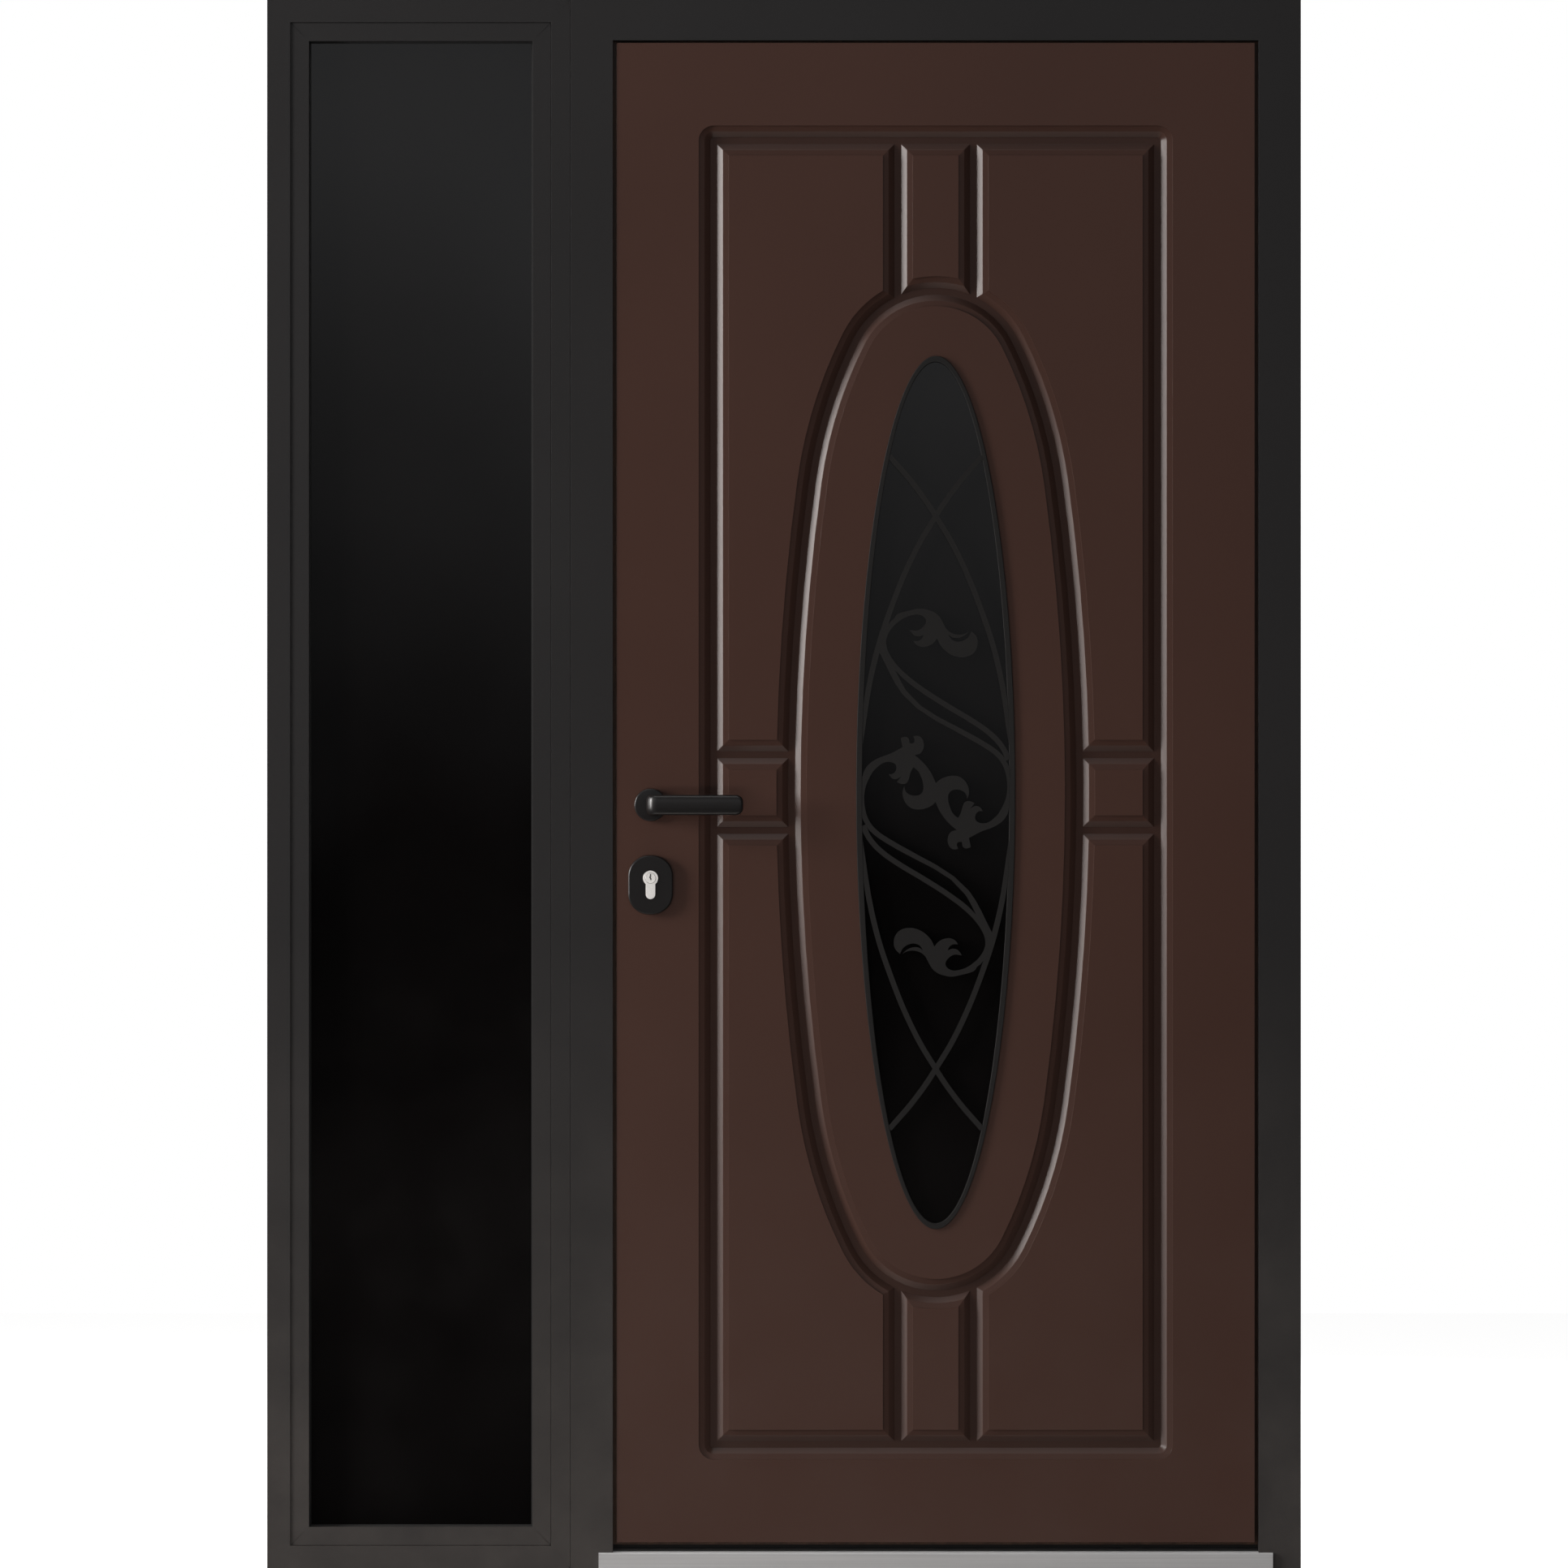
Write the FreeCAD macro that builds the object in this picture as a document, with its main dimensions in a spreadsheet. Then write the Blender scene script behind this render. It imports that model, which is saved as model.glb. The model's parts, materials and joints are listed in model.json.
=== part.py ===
"""Entrance door with a fixed sidelight at its left, seen from outside.

Millimetres, X to the right, Y into the building, Z up. The origin is on the underside of the
threshold, midway across the whole width and midway through the depth of the frame.
"""
import FreeCAD, Part
import Sketcher
import math
import os

V = FreeCAD.Vector
doc = FreeCAD.newDocument("DoorWithSidelight")
sheet = doc.addObject("Spreadsheet::Sheet", "Sizes")
finished = []


class Size:
    """A length together with the expression that ties it to the named sizes."""

    def __init__(self, value, text):
        self.value = float(value)
        self.text = text

    def __add__(self, other):
        other = size(other)
        return Size(self.value + other.value, "(%s + %s)" % (self.text, other.text))

    def __radd__(self, other):
        return size(other) + self

    def __sub__(self, other):
        other = size(other)
        return Size(self.value - other.value, "(%s - %s)" % (self.text, other.text))

    def __rsub__(self, other):
        return size(other) - self

    def __mul__(self, other):
        other = size(other)
        return Size(self.value * other.value, "(%s * %s)" % (self.text, other.text))

    def __rmul__(self, other):
        return size(other) * self

    def __truediv__(self, other):
        other = size(other)
        return Size(self.value / other.value, "(%s / %s)" % (self.text, other.text))

    def __neg__(self):
        return Size(-self.value, "(-1 * %s)" % self.text)

    def __float__(self):
        return self.value


def size(value):
    return value if isinstance(value, Size) else Size(value, "%.6f" % value)


# Driving dimensions in millimetres; each gets a cell of the sheet under its own name.
# Whole unit
overall_width = 1383.0  # width over both frames
overall_height = 2100.0  # height over frame and threshold
frame_depth = 77.0  # depth of both frames
side_width = 406.0  # width of the sidelight unit

# Door frame
jamb_face = 56.5  # visible face of a door jamb
head_face = 55.0  # visible face of the head
jamb_core = 37.5  # full-depth part of a jamb, without its front lip
lip_depth = 20.0  # depth of the front lip the leaf closes behind
sill_height = 21.7  # height of the threshold
sill_nose = 4.0  # reach of the threshold in front of the frame
strip_height = 3.3  # height of the dark strip on the threshold
strip_front = -12.0  # front edge of the dark strip
strip_back = 8.0  # back edge of the dark strip
sill_bevel = 1.5  # bevel along the front edge of the threshold
frame_seal_width = 7.0  # width of the seal in the frame
seal_play = 0.5  # distance of that seal from lip and leaf

# Sidelight
side_face = 31.0  # visible face of the sidelight frame
side_joint = 26.0  # visible face beside the door jamb
bead_face = 25.0  # visible face of a glazing bead
bead_back = 1.5  # setback of the bead face from the frame face
bead_depth = 17.0  # depth of a glazing bead
flange = 28.5  # depth of the fixed flange at the inside
flange_face = 53.0  # face of the fixed flange at the inside
seal = 3.0  # thickness of a glazing seal
pane = 4.0  # thickness of a sidelight pane
pane_edge = 5.0  # gap round the edge of the glass
side_spacer = 12.0  # face of the spacer between the sidelight panes
side_spacer_edge = 3.0  # distance of that spacer from the edge of the glass
seal_edge = 2.0  # distance of the glazing seals from the rebate
outer_seal = 25.0  # face of the glazing seal behind the beads
inner_seal = 17.0  # face of the glazing seal on the flange

# Leaf
gap = 5.0  # gap between leaf panel and jamb lip
top_gap = 3.3  # gap between leaf panel and head lip
leaf_bottom = 35.3  # height of the lower edge of the outer panel
leaf_back = 2.0  # setback of the leaf face from the frame face
outer_thick = 22.0  # thickness of the outer panel
inner_thick = 16.0  # thickness of the inner panel
sash_gap = 12.0  # gap between sash and jamb core
inner_gap = 5.0  # gap between inner panel and jamb core
stile_width = 90.0  # width of stiles and rails inside the leaf
sash_bottom = 31.0  # height of the lower edge of the sash

# Routed relief of the panels
groove_width = 40.0  # width of the routed groove
groove_flat = 9.0  # width of its flat bottom
groove_deep = 9.0  # depth of the groove
quirk = 2.2  # height of the square step at the lips of the groove
shoulder = 7.6  # width of the gentle shoulder
shoulder_deep = 3.6  # depth at the foot of the shoulder
field_side = 130.0  # distance of the rectangular groove from the sides of the panel
field_end = 130.6  # distance of the rectangular groove from top and bottom of the panel
stub = 50.6  # offset of the short grooves from the centre lines
oval_wide = 0.65  # width of the oval groove as a part of the rectangle's
oval_tall = 0.769  # height of the oval groove as a part of the rectangle's
oval_round = 0.6166  # radius of the oval groove at its ends as a part of its half-width
oval_ease = 1.4  # how much flatter its sides are than those of an oval of two radii

# Oval glass of the leaf
glass_wide = 0.5517  # width of the grille ring as a part of the oval groove's
glass_tall = 0.8706  # height of the grille ring as a part of the oval groove's
ring_face = 8.0  # face of the grille ring
ring_proud = 3.0  # height of the ring on the panel
unit_lap = 5.5  # reach of the glass beyond the ring
door_pane = 6.0  # thickness of the outer and inner door panes
bar_width = 7.1  # width of the grille bars
grille_thick = 4.0  # thickness of the scrolls
scroll_step = 0.45  # furthest a straight piece of a scroll lies from its curve
glass_depth = 6.0  # depth of the glass behind the leaf face
glass_play = 1.0  # sealant between glass and inner panel
rebate_play = 2.0  # gap round the edge of the glass unit

# Hardware
backset = 45.5  # distance of lever and lock from the edge of the outer panel
handle_z = 1022.0  # height of the lever axis
lock_pitch = 98.0  # distance from lever axis to cylinder axis
rose_radius = 21.8  # radius of a lever rose
rose_thick = 8.0  # thickness of a rose or escutcheon
lever_length = 124.0  # reach of the lever from its axis
lever_tall = 27.0  # height of the lever bar
lever_thick = 13.0  # thickness of the lever bar
lever_heel = 5.5  # reach of the lever behind its axis
lever_reach = 45.5  # lever front above the leaf face
plate_wide = 60.0  # width of an escutcheon
plate_tall = 79.0  # height of an escutcheon
plate_round = 28.0  # corner radius of an escutcheon
plate_drop = 9.1  # centre of an escutcheon below the cylinder axis
fitting_edge = 1.5  # bevel round the face of an escutcheon
lock_round = 20.2  # diameter of the lock cylinder
lock_stem = 12.7  # width of the stem of the cylinder
lock_total = 38.0  # height of the whole cylinder
plug_round = 13.4  # diameter of the turning plug
plug_play = 0.3  # gap round the plug
plug_length = 30.0  # length of the plug
keyway_wide = 1.9  # width of each step of the keyway
keyway_tall = 5.5  # reach of the keyway above the middle of the plug
keyway_deep = 24.0  # depth of the keyway
lever_end = 9.5  # rounding of the lever at its end
lever_bevel = 3.5  # bevel along the edges of the lever
barrel = 10.0  # radius of a hinge barrel
knuckle = 48.0  # length of a hinge knuckle
hinge_end = 240.0  # distance of the end hinges from top and bottom
hinge_apart = 240.0  # distance between the two upper hinges
spindle_side = 8.0  # side of the square spindle
spindle_hole = 12.0  # side of the holes it turns in
lock_play = 0.8  # gap round the lock cylinder
case_wall = 6.0  # wood left between lock case and core
case_thick = 18.0  # thickness of the lock case
case_above = 70.0  # reach of the lock case above the lever axis
case_below = 190.0  # reach of the lock case below the lever axis
faceplate_wide = 24.0  # width of the faceplate
faceplate_thick = 3.0  # thickness of the faceplate
faceplate_more = 25.0  # reach of the faceplate beyond the case at each end
strike_thick = 2.0  # thickness of the strike plate
latch_rise = 35.0  # centre of the latch above the lever axis
latch_tall = 31.0  # height of the latch
bolt_drop = 40.0  # centre of the bolt below the cylinder axis
bolt_tall = 39.0  # height of the bolt
bolt_thick = 13.0  # thickness of latch and bolt
bolt_play = 0.5  # gap round latch and bolt in the faceplate
strike_play = 1.5  # gap round latch and bolt in the strike plate
spacer_face = 10.0  # face of the glazing spacers
trim_face = 14.0  # face of the trim ring at the inside
block_length = 100.0  # length of a block under the sidelight glass
wing_width = 32.0  # width of a hinge wing
wing_thick = 6.0  # thickness of a hinge wing
pin_radius = 4.0  # radius of a hinge pin
pin_play = 0.5  # gap round a hinge pin
pin_cap = 4.0  # height of the cap of a hinge pin

for row, (alias, number) in enumerate([item for item in globals().items() if isinstance(item[1], float)], 1):
    sheet.set("A%d" % row, alias.replace("_", " "))
    sheet.set("B%d" % row, "%g" % number)
    sheet.setAlias("B%d" % row, alias)
    globals()[alias] = Size(number, "Sizes." + alias)

# Positions worked out from them
left = -overall_width / 2
right = overall_width / 2
front = -frame_depth / 2
back = frame_depth / 2
joint = left + side_width
head_core = jamb_core * head_face / jamb_face
lip_left = joint + jamb_face
lip_right = right - jamb_face
core_left = joint + jamb_core
core_right = right - jamb_core
core_top = overall_height - head_core
lip_top = overall_height - head_face

panel_left = lip_left + gap
panel_right = lip_right - gap
panel_top = lip_top - top_gap
leaf_face = front + leaf_back
sash_front = leaf_face + outer_thick
sash_back = back - inner_thick
sash_left = core_left + sash_gap
sash_right = core_right - sash_gap
sash_top = core_top - sash_gap
inner_left = core_left + inner_gap
inner_right = core_right - inner_gap
inner_top = core_top - inner_gap
inner_bottom = sill_height + strip_height + inner_gap
centre_x = (panel_left + panel_right) / 2
centre_z = (panel_top + leaf_bottom) / 2
half_width = (panel_right - panel_left) / 2 - field_side
half_height = (panel_top - leaf_bottom) / 2 - field_end
ring_a = half_width * oval_wide * glass_wide
ring_b = half_height * oval_tall * glass_tall
handle_x = panel_left + backset
lock_z = handle_z - lock_pitch
axis_x = core_right - inner_gap / 2
axis_y = back + barrel + 1
glass_front = leaf_face + glass_depth
glass_back = sash_back - glass_play


def text(obj, prop, value):
    obj.setExpression(prop, size(value).text)


def place(obj, x, y, z, turn=None):
    obj.Placement = FreeCAD.Placement(V(float(size(x)), float(size(y)), float(size(z))),
                                      turn or FreeCAD.Rotation())
    for axis, value in (("x", x), ("y", y), ("z", z)):
        text(obj, "Placement.Base." + axis, value)
    return obj


def block(name, x0, x1, y0, y1, z0, z1):
    obj = doc.addObject("Part::Box", name)
    for prop, low, high in (("Length", x0, x1), ("Width", y0, y1), ("Height", z0, z1)):
        span = size(high) - size(low)
        setattr(obj, prop, span.value)
        text(obj, prop, span)
    return place(obj, x0, y0, z0)


ALONG_Y = FreeCAD.Rotation(V(1, 0, 0), -90)
ALONG_Z = FreeCAD.Rotation()
UPRIGHT = FreeCAD.Rotation(V(0, 0, 1), V(1, 0, 0), V(0, 1, 0), "ZXY")


def rod(name, x, y, z, radius, length, turn=ALONG_Y, end_radius=None):
    """A cylinder, or a cone where the far end has another radius."""
    kind = "Part::Cylinder" if end_radius is None else "Part::Cone"
    obj = doc.addObject(kind, name)
    pairs = [("Height", length)]
    if end_radius is None:
        pairs.append(("Radius", radius))
    else:
        pairs += [("Radius1", radius), ("Radius2", end_radius)]
    for prop, value in pairs:
        setattr(obj, prop, size(value).value)
        text(obj, prop, value)
    return place(obj, x, y, z, turn)


def oval(name, half_width, half_height, y0, y1):
    """An upright elliptical prism about the centre of the leaf."""
    rim = doc.addObject("Part::Ellipse", name + "_rim")
    rim.MajorRadius = size(half_height).value
    rim.MinorRadius = size(half_width).value
    text(rim, "MajorRadius", half_height)
    text(rim, "MinorRadius", half_width)
    place(rim, centre_x, y0, centre_z, UPRIGHT)
    obj = doc.addObject("Part::Extrusion", name)
    obj.Base = rim
    obj.DirMode = "Custom"
    obj.Dir = V(0, 1, 0)
    obj.LengthFwd = (size(y1) - size(y0)).value
    text(obj, "LengthFwd", size(y1) - size(y0))
    obj.Solid = True
    return obj


def fuse(name, pieces):
    obj = doc.addObject("Part::MultiFuse", name)
    obj.Shapes = pieces
    return obj


def cut(name, base, tools):
    tool = tools[0] if len(tools) == 1 else fuse(name + "_tools", tools)
    obj = doc.addObject("Part::Cut", name)
    obj.Base = base
    obj.Tool = tool
    return obj


def finish(obj, label):
    obj.Label = label
    finished.append(obj)
    return obj


def new_body(name):
    return doc.addObject("PartDesign::Body", name)


def polygon(body, name, points, role="XZ_Plane", offset=0.0):
    """A closed sketch whose corners are tied to the named sizes."""
    sketch = body.newObject("Sketcher::SketchObject", name)
    plane = [f for f in body.Origin.OriginFeatures if f.Role == role][0]
    sketch.AttachmentSupport = [(plane, "")]
    sketch.MapMode = "FlatFace"
    sketch.AttachmentOffset = FreeCAD.Placement(V(0, 0, size(offset).value), FreeCAD.Rotation())
    text(sketch, "AttachmentOffset.Base.z", offset)
    points = [(size(a), size(b)) for a, b in points]
    count = len(points)
    for i in range(count):
        (a, b), (c, d) = points[i], points[(i + 1) % count]
        sketch.addGeometry(Part.LineSegment(V(a.value, b.value, 0), V(c.value, d.value, 0)), False)
    for i in range(count):
        sketch.addConstraint(Sketcher.Constraint("Coincident", i, 2, (i + 1) % count, 1))
    for i, corner in enumerate(points):
        for kind, value in zip(("DistanceX", "DistanceY"), corner):
            index = sketch.addConstraint(Sketcher.Constraint(kind, -1, 1, i, 1, value.value))
            sketch.setExpression("Constraints[%d]" % index, value.text)
    return sketch


def pad(body, name, points, y0, y1):
    """Adds a prism on an outline in X and Z, from y0 back to y1."""
    sketch = polygon(body, name + "_outline", points, "XZ_Plane", -size(y1))
    obj = body.newObject("PartDesign::Pad", name)
    obj.Profile = sketch
    obj.Length = (size(y1) - size(y0)).value
    text(obj, "Length", size(y1) - size(y0))
    return obj


def bar(name, label, prisms):
    """A body made of prisms, each an outline in X and Z with its front and back."""
    body = new_body(name)
    for number, (points, y0, y1) in enumerate(prisms):
        pad(body, "%s_part%d" % (name, number + 1), points, y0, y1)
    return finish(body, label) if label else body


def edges_where(shape, test):
    return ["Edge%d" % (i + 1) for i, edge in enumerate(shape.Edges) if test(edge)]


def dress(body, kind, name, amount, test):
    """Fillets or chamfers the edges that pass the test."""
    doc.recompute()
    tip = body.Tip
    obj = body.newObject("PartDesign::" + kind, name)
    obj.Base = (tip, edges_where(tip.Shape, test))
    prop = "Radius" if kind == "Fillet" else "Size"
    setattr(obj, prop, size(amount).value)
    text(obj, prop, amount)
    return obj


# Door frame: two jambs and a head, mitred, each with a front lip
bar("LeftJamb", "jamb_left", [
    ([(joint, 0.0), (core_left, 0.0), (core_left, core_top), (joint, overall_height)], front, back),
    ([(core_left, sill_height), (lip_left, sill_height), (lip_left, lip_top), (core_left, core_top)],
     front, front + lip_depth)])
bar("RightJamb", "jamb_right", [
    ([(right, 0.0), (core_right, 0.0), (core_right, core_top), (right, overall_height)], front, back),
    ([(core_right, sill_height), (lip_right, sill_height), (lip_right, lip_top), (core_right, core_top)],
     front, front + lip_depth)])
bar("Head", "head", [
    ([(joint, overall_height), (right, overall_height), (core_right, core_top), (core_left, core_top)],
     front, back),
    ([(core_left, core_top), (core_right, core_top), (lip_right, lip_top), (lip_left, lip_top)],
     front, front + lip_depth)])
sill = bar("Threshold", None, [
    ([(core_left, 0.0), (core_right, 0.0), (core_right, sill_height), (core_left, sill_height)],
     front - sill_nose, back)])
dress(sill, "Chamfer", "Threshold_edge", sill_bevel,
      lambda e: abs(e.BoundBox.YMax - (front - sill_nose).value) < 0.01
      and abs(e.BoundBox.ZMin - sill_height.value) < 0.01)
finish(sill, "threshold")
finish(block("Strip", core_left, core_right, strip_front, strip_back, sill_height,
             sill_height + strip_height), "threshold_strip")
seal_left = lip_left - frame_seal_width
seal_right = lip_right + frame_seal_width
bar("FrameSeal", "frame_seal", [
    ([(seal_left, sill_height), (lip_left - seal_play, sill_height),
      (lip_left - seal_play, lip_top + seal_play), (lip_right + seal_play, lip_top + seal_play),
      (lip_right + seal_play, sill_height), (seal_right, sill_height),
      (seal_right, lip_top + frame_seal_width), (seal_left, lip_top + frame_seal_width)],
     front + lip_depth, sash_front - seal_play)])

# Sidelight frame: four mitred bars with a fixed flange at the inside
glass_left = left + side_face
glass_right = joint - side_joint
glass_top = overall_height - side_face
glass_low = side_face
flange_joint = flange_face * side_joint / side_face
flange_left = left + flange_face
flange_right = joint - flange_joint
flange_top = overall_height - flange_face
flange_low = flange_face
flange_front = back - flange


def ring_points(x0, x1, z0, z1):
    return {"left": (x0, z0, x0, z1), "right": (x1, z1, x1, z0),
            "top": (x0, z1, x1, z1), "bottom": (x1, z0, x0, z0)}


def mitred(side, outer, inner):
    """Four corners of one side of a mitred ring between two rectangles."""
    a = ring_points(*outer)[side]
    b = ring_points(*inner)[side]
    return [(a[0], a[1]), (a[2], a[3]), (b[2], b[3]), (b[0], b[1])]


whole = (left, joint, size(0.0), overall_height)
rebate = (glass_left, glass_right, glass_low, glass_top)
inside = (flange_left, flange_right, flange_low, flange_top)
sight = (glass_left + bead_face, glass_right - bead_face, glass_low + bead_face, glass_top - bead_face)
for side, label in (("left", "sidelight_stile_left"), ("right", "sidelight_stile_right"),
                    ("top", "sidelight_rail_top"), ("bottom", "sidelight_rail_bottom")):
    bar("Side_" + side, label, [(mitred(side, whole, rebate), front, back),
                                (mitred(side, rebate, inside), flange_front, back)])
bead_front = front + bead_back
bead_rear = bead_front + bead_depth
for side in ("left", "right", "top", "bottom"):
    bar("Bead_" + side, "sidelight_bead_" + side,
        [(mitred(side, rebate, sight), bead_front, bead_rear)])

pane_left = glass_left + pane_edge
pane_right = glass_right - pane_edge
pane_low = glass_low + pane_edge
pane_top = glass_top - pane_edge
unit_front = bead_rear + seal
unit_back = flange_front - seal
finish(block("SidePaneOut", pane_left, pane_right, unit_front, unit_front + pane, pane_low, pane_top),
       "sidelight_pane_outer")
finish(block("SidePaneIn", pane_left, pane_right, unit_back - pane, unit_back, pane_low, pane_top),
       "sidelight_pane_inner")


def frame_ring(name, x0, x1, z0, z1, face, y0, y1):
    outer = block(name + "_outer", x0, x1, y0, y1, z0, z1)
    inner = block(name + "_inner", x0 + face, x1 - face, y0 - 1, y1 + 1, z0 + face, z1 - face)
    return cut(name, outer, [inner])


def inset(name, distance, face, y0, y1):
    """A ring that runs round the sidelight at a distance from its rebate."""
    return frame_ring(name, glass_left + distance, glass_right - distance, glass_low + distance,
                      glass_top - distance, face, y0, y1)


finish(inset("SideSpacer", pane_edge + side_spacer_edge, side_spacer, unit_front + pane, unit_back - pane),
       "sidelight_spacer")
finish(fuse("SideSeals", [inset("SideSealOut", seal_edge, outer_seal, bead_rear, unit_front),
                          inset("SideSealIn", seal_edge, inner_seal, unit_back, flange_front)]),
       "sidelight_seals")
finish(fuse("SideBlocks", [
    block("SideBlock1", pane_left, pane_left + block_length, unit_front, unit_back, glass_low, pane_low),
    block("SideBlock2", pane_right - block_length, pane_right, unit_front, unit_back, glass_low, pane_low)]),
    "sidelight_glass_blocks")


# The routed relief is one cutter run along straight lines and tangent arcs. It is worked out as
# shapes, because the arcs meet at points that come from the radii.
def profile(face, inward, from_middle):
    """Corners of the cutter section, or of its right half, as (offset, y)."""
    half = groove_width.value / 2
    edge = half - shoulder.value
    flat = groove_flat.value / 2
    steps = [(flat, groove_deep.value), (edge, shoulder_deep.value), (half, quirk.value), (half, -1)]
    others = [(0, groove_deep.value), (0, -1)] if from_middle else [(-u, depth) for u, depth in steps]
    return [(u, face + inward * depth) for u, depth in steps[::-1] + others]


def section(origin, across, face, inward, from_middle=False):
    """The cutter section as a face, standing at a point across the line that it runs along."""
    points = [V(origin[0] + across[0] * u, y, origin[1] + across[1] * u)
              for u, y in profile(face, inward, from_middle)]
    return Part.Face(Part.makePolygon(points + [points[0]]))


def straight(start, end, face, inward):
    dx, dz = end[0] - start[0], end[1] - start[1]
    length = math.hypot(dx, dz)
    across = (-dz / length, dx / length)
    return section(start, across, face, inward).extrude(V(dx, 0, dz))


def turned(centre, radius, first, last, face, inward):
    across = (math.cos(math.radians(first)), math.sin(math.radians(first)))
    start = (centre[0] + radius * across[0], centre[1] + radius * across[1])
    return section(start, across, face, inward).revolve(V(centre[0], 0, centre[1]), V(0, -1, 0),
                                                       last - first)


def dished(point, face, inward):
    return section(point, (1, 0), face, inward, True).revolve(V(point[0], 0, point[1]), V(0, 1, 0), 360)


def oval_arcs(a, b, end):
    """Radii, centres and angles of three tangent arcs in a quarter of the oval."""
    side = oval_ease.value * (a ** 2 + b ** 2 - 2 * b * end) / (2 * (a - end))
    middle = math.sqrt(end * side)
    top = (0.0, b - end)
    flank = (a - side, 0.0)
    d1, d3 = middle - end, side - middle
    dx, dz = flank[0] - top[0], flank[1] - top[1]
    apart = math.hypot(dx, dz)
    t = (apart ** 2 + d1 ** 2 - d3 ** 2) / (2 * apart)
    h = math.sqrt(d1 ** 2 - t ** 2)
    mids = [(top[0] + t * dx / apart + s * h * dz / apart, top[1] + t * dz / apart - s * h * dx / apart)
            for s in (1, -1)]
    mid = min(mids, key=lambda c: c[1])
    high = math.degrees(math.atan2(top[1] - mid[1], top[0] - mid[0]))
    low = math.degrees(math.atan2(mid[1] - flank[1], mid[0] - flank[0]))
    return middle, side, top, mid, flank, high, low


def relief(name, face, inward):
    cx, cz = centre_x.value, centre_z.value
    hw, hh, off = half_width.value, half_height.value, stub.value
    corners = [(cx + sx * hw, cz + sz * hh) for sx, sz in ((-1, -1), (1, -1), (1, 1), (-1, 1))]
    pieces = [straight(corners[i], corners[(i + 1) % 4], face, inward) for i in range(4)]
    pieces += [dished(point, face, inward) for point in corners]
    a, b = hw * oval_wide.value, hh * oval_tall.value
    r1 = a * oval_round.value
    r2, r3, top, mid, flank, high, low = oval_arcs(a, b, r1)
    drop = b - r1 + math.sqrt(r1 ** 2 - off ** 2)
    reach = a - r3 + math.sqrt(r3 ** 2 - off ** 2)
    for s in (-1, 1):
        for t in (-1, 1):
            pieces.append(straight((cx + s * off, cz + t * hh), (cx + s * off, cz + t * drop), face, inward))
            pieces.append(straight((cx + s * hw, cz + t * off), (cx + s * reach, cz + t * off), face, inward))
    pieces.append(turned((cx + top[0], cz + top[1]), r1, high, 180 - high, face, inward))
    pieces.append(turned((cx + top[0], cz - top[1]), r1, 180 + high, 360 - high, face, inward))
    pieces.append(turned((cx + flank[0], cz), r3, -low, low, face, inward))
    pieces.append(turned((cx - flank[0], cz), r3, 180 - low, 180 + low, face, inward))
    pieces.append(turned((cx + mid[0], cz + mid[1]), r2, low, high, face, inward))
    pieces.append(turned((cx - mid[0], cz + mid[1]), r2, 180 - high, 180 - low, face, inward))
    pieces.append(turned((cx - mid[0], cz - mid[1]), r2, 180 + low, 180 + high, face, inward))
    pieces.append(turned((cx + mid[0], cz - mid[1]), r2, 360 - high, 360 - low, face, inward))
    obj = doc.addObject("Part::Feature", name)
    obj.Shape = pieces[0].multiFuse(pieces[1:])
    return obj


# Leaf: two panels on a frame of stiles and rails with a foam core
lock_foot = lock_z + lock_round / 2 - lock_total


def lock_shape(name, y0, y1):
    """The lock cylinder's outline as a prism: a round barrel over a narrow stem with a round foot."""
    half = lock_stem / 2
    long = size(y1) - size(y0)
    return fuse(name, [
        rod(name + "_round", handle_x, y0, lock_z, lock_round / 2, long),
        block(name + "_stem", handle_x - half, handle_x + half, y0, y1, lock_foot + half, lock_z),
        rod(name + "_foot", handle_x, y0, lock_foot + half, half, long)])


def lever_room(name, y0, y1):
    half = spindle_hole / 2
    return block(name, handle_x - half, handle_x + half, y0, y1, handle_z - half, handle_z + half)


def lock_room(name, y0, y1):
    half = lock_round / 2 + lock_play
    return block(name, handle_x - half, handle_x + half, y0, y1, lock_foot - lock_play, lock_z + half)


panel = block("OuterPanel_blank", panel_left, panel_right, leaf_face, sash_front, leaf_bottom, panel_top)
panel = cut("OuterPanel_routed", panel, [relief("OuterRelief", leaf_face.value, 1)])
outer_panel = cut("OuterPanel", panel, [
    oval("OuterSight", ring_a, ring_b, leaf_face - 1, sash_front + 1),
    oval("OuterRebate", ring_a + unit_lap + rebate_play, ring_b + unit_lap + rebate_play, glass_front,
         sash_front + 1),
    lever_room("OuterSpindleHole", leaf_face - 1, sash_front + 1),
    lock_room("OuterLockHole", leaf_face - 1, sash_front + 1)])
finish(outer_panel, "outer_panel")

panel = block("InnerPanel_blank", inner_left, inner_right, sash_back, back, inner_bottom, inner_top)
inner_panel = cut("InnerPanel", panel, [
    oval("InnerSight", ring_a - ring_face, ring_b - ring_face, sash_back - 1, back + 1),
    lever_room("InnerSpindleHole", sash_back - 1, back + 1),
    lock_room("InnerLockHole", sash_back - 1, back + 1)])
finish(inner_panel, "inner_panel")

case_front = -case_thick / 2
case_back = case_thick / 2
case_low = handle_z - case_below
case_high = handle_z + case_above
case_end = sash_left + stile_width - case_wall
plate_front = -faceplate_wide / 2
plate_back = faceplate_wide / 2
plate_low = case_low - faceplate_more
plate_high = case_high + faceplate_more
stile = block("LockStile_blank", sash_left, sash_left + stile_width, sash_front, sash_back,
              sash_bottom, sash_top)
stile = cut("LockStile", stile, [
    block("LockCaseRoom", sash_left - 1, case_end, case_front, case_back, case_low, case_high),
    block("FaceplateRoom", sash_left - 1, sash_left + faceplate_thick, plate_front, plate_back,
          plate_low, plate_high),
    lever_room("StileSpindleHole", sash_front - 1, sash_back + 1),
    lock_room("StileLockHole", sash_front - 1, sash_back + 1)])
finish(stile, "lock_stile")
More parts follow.
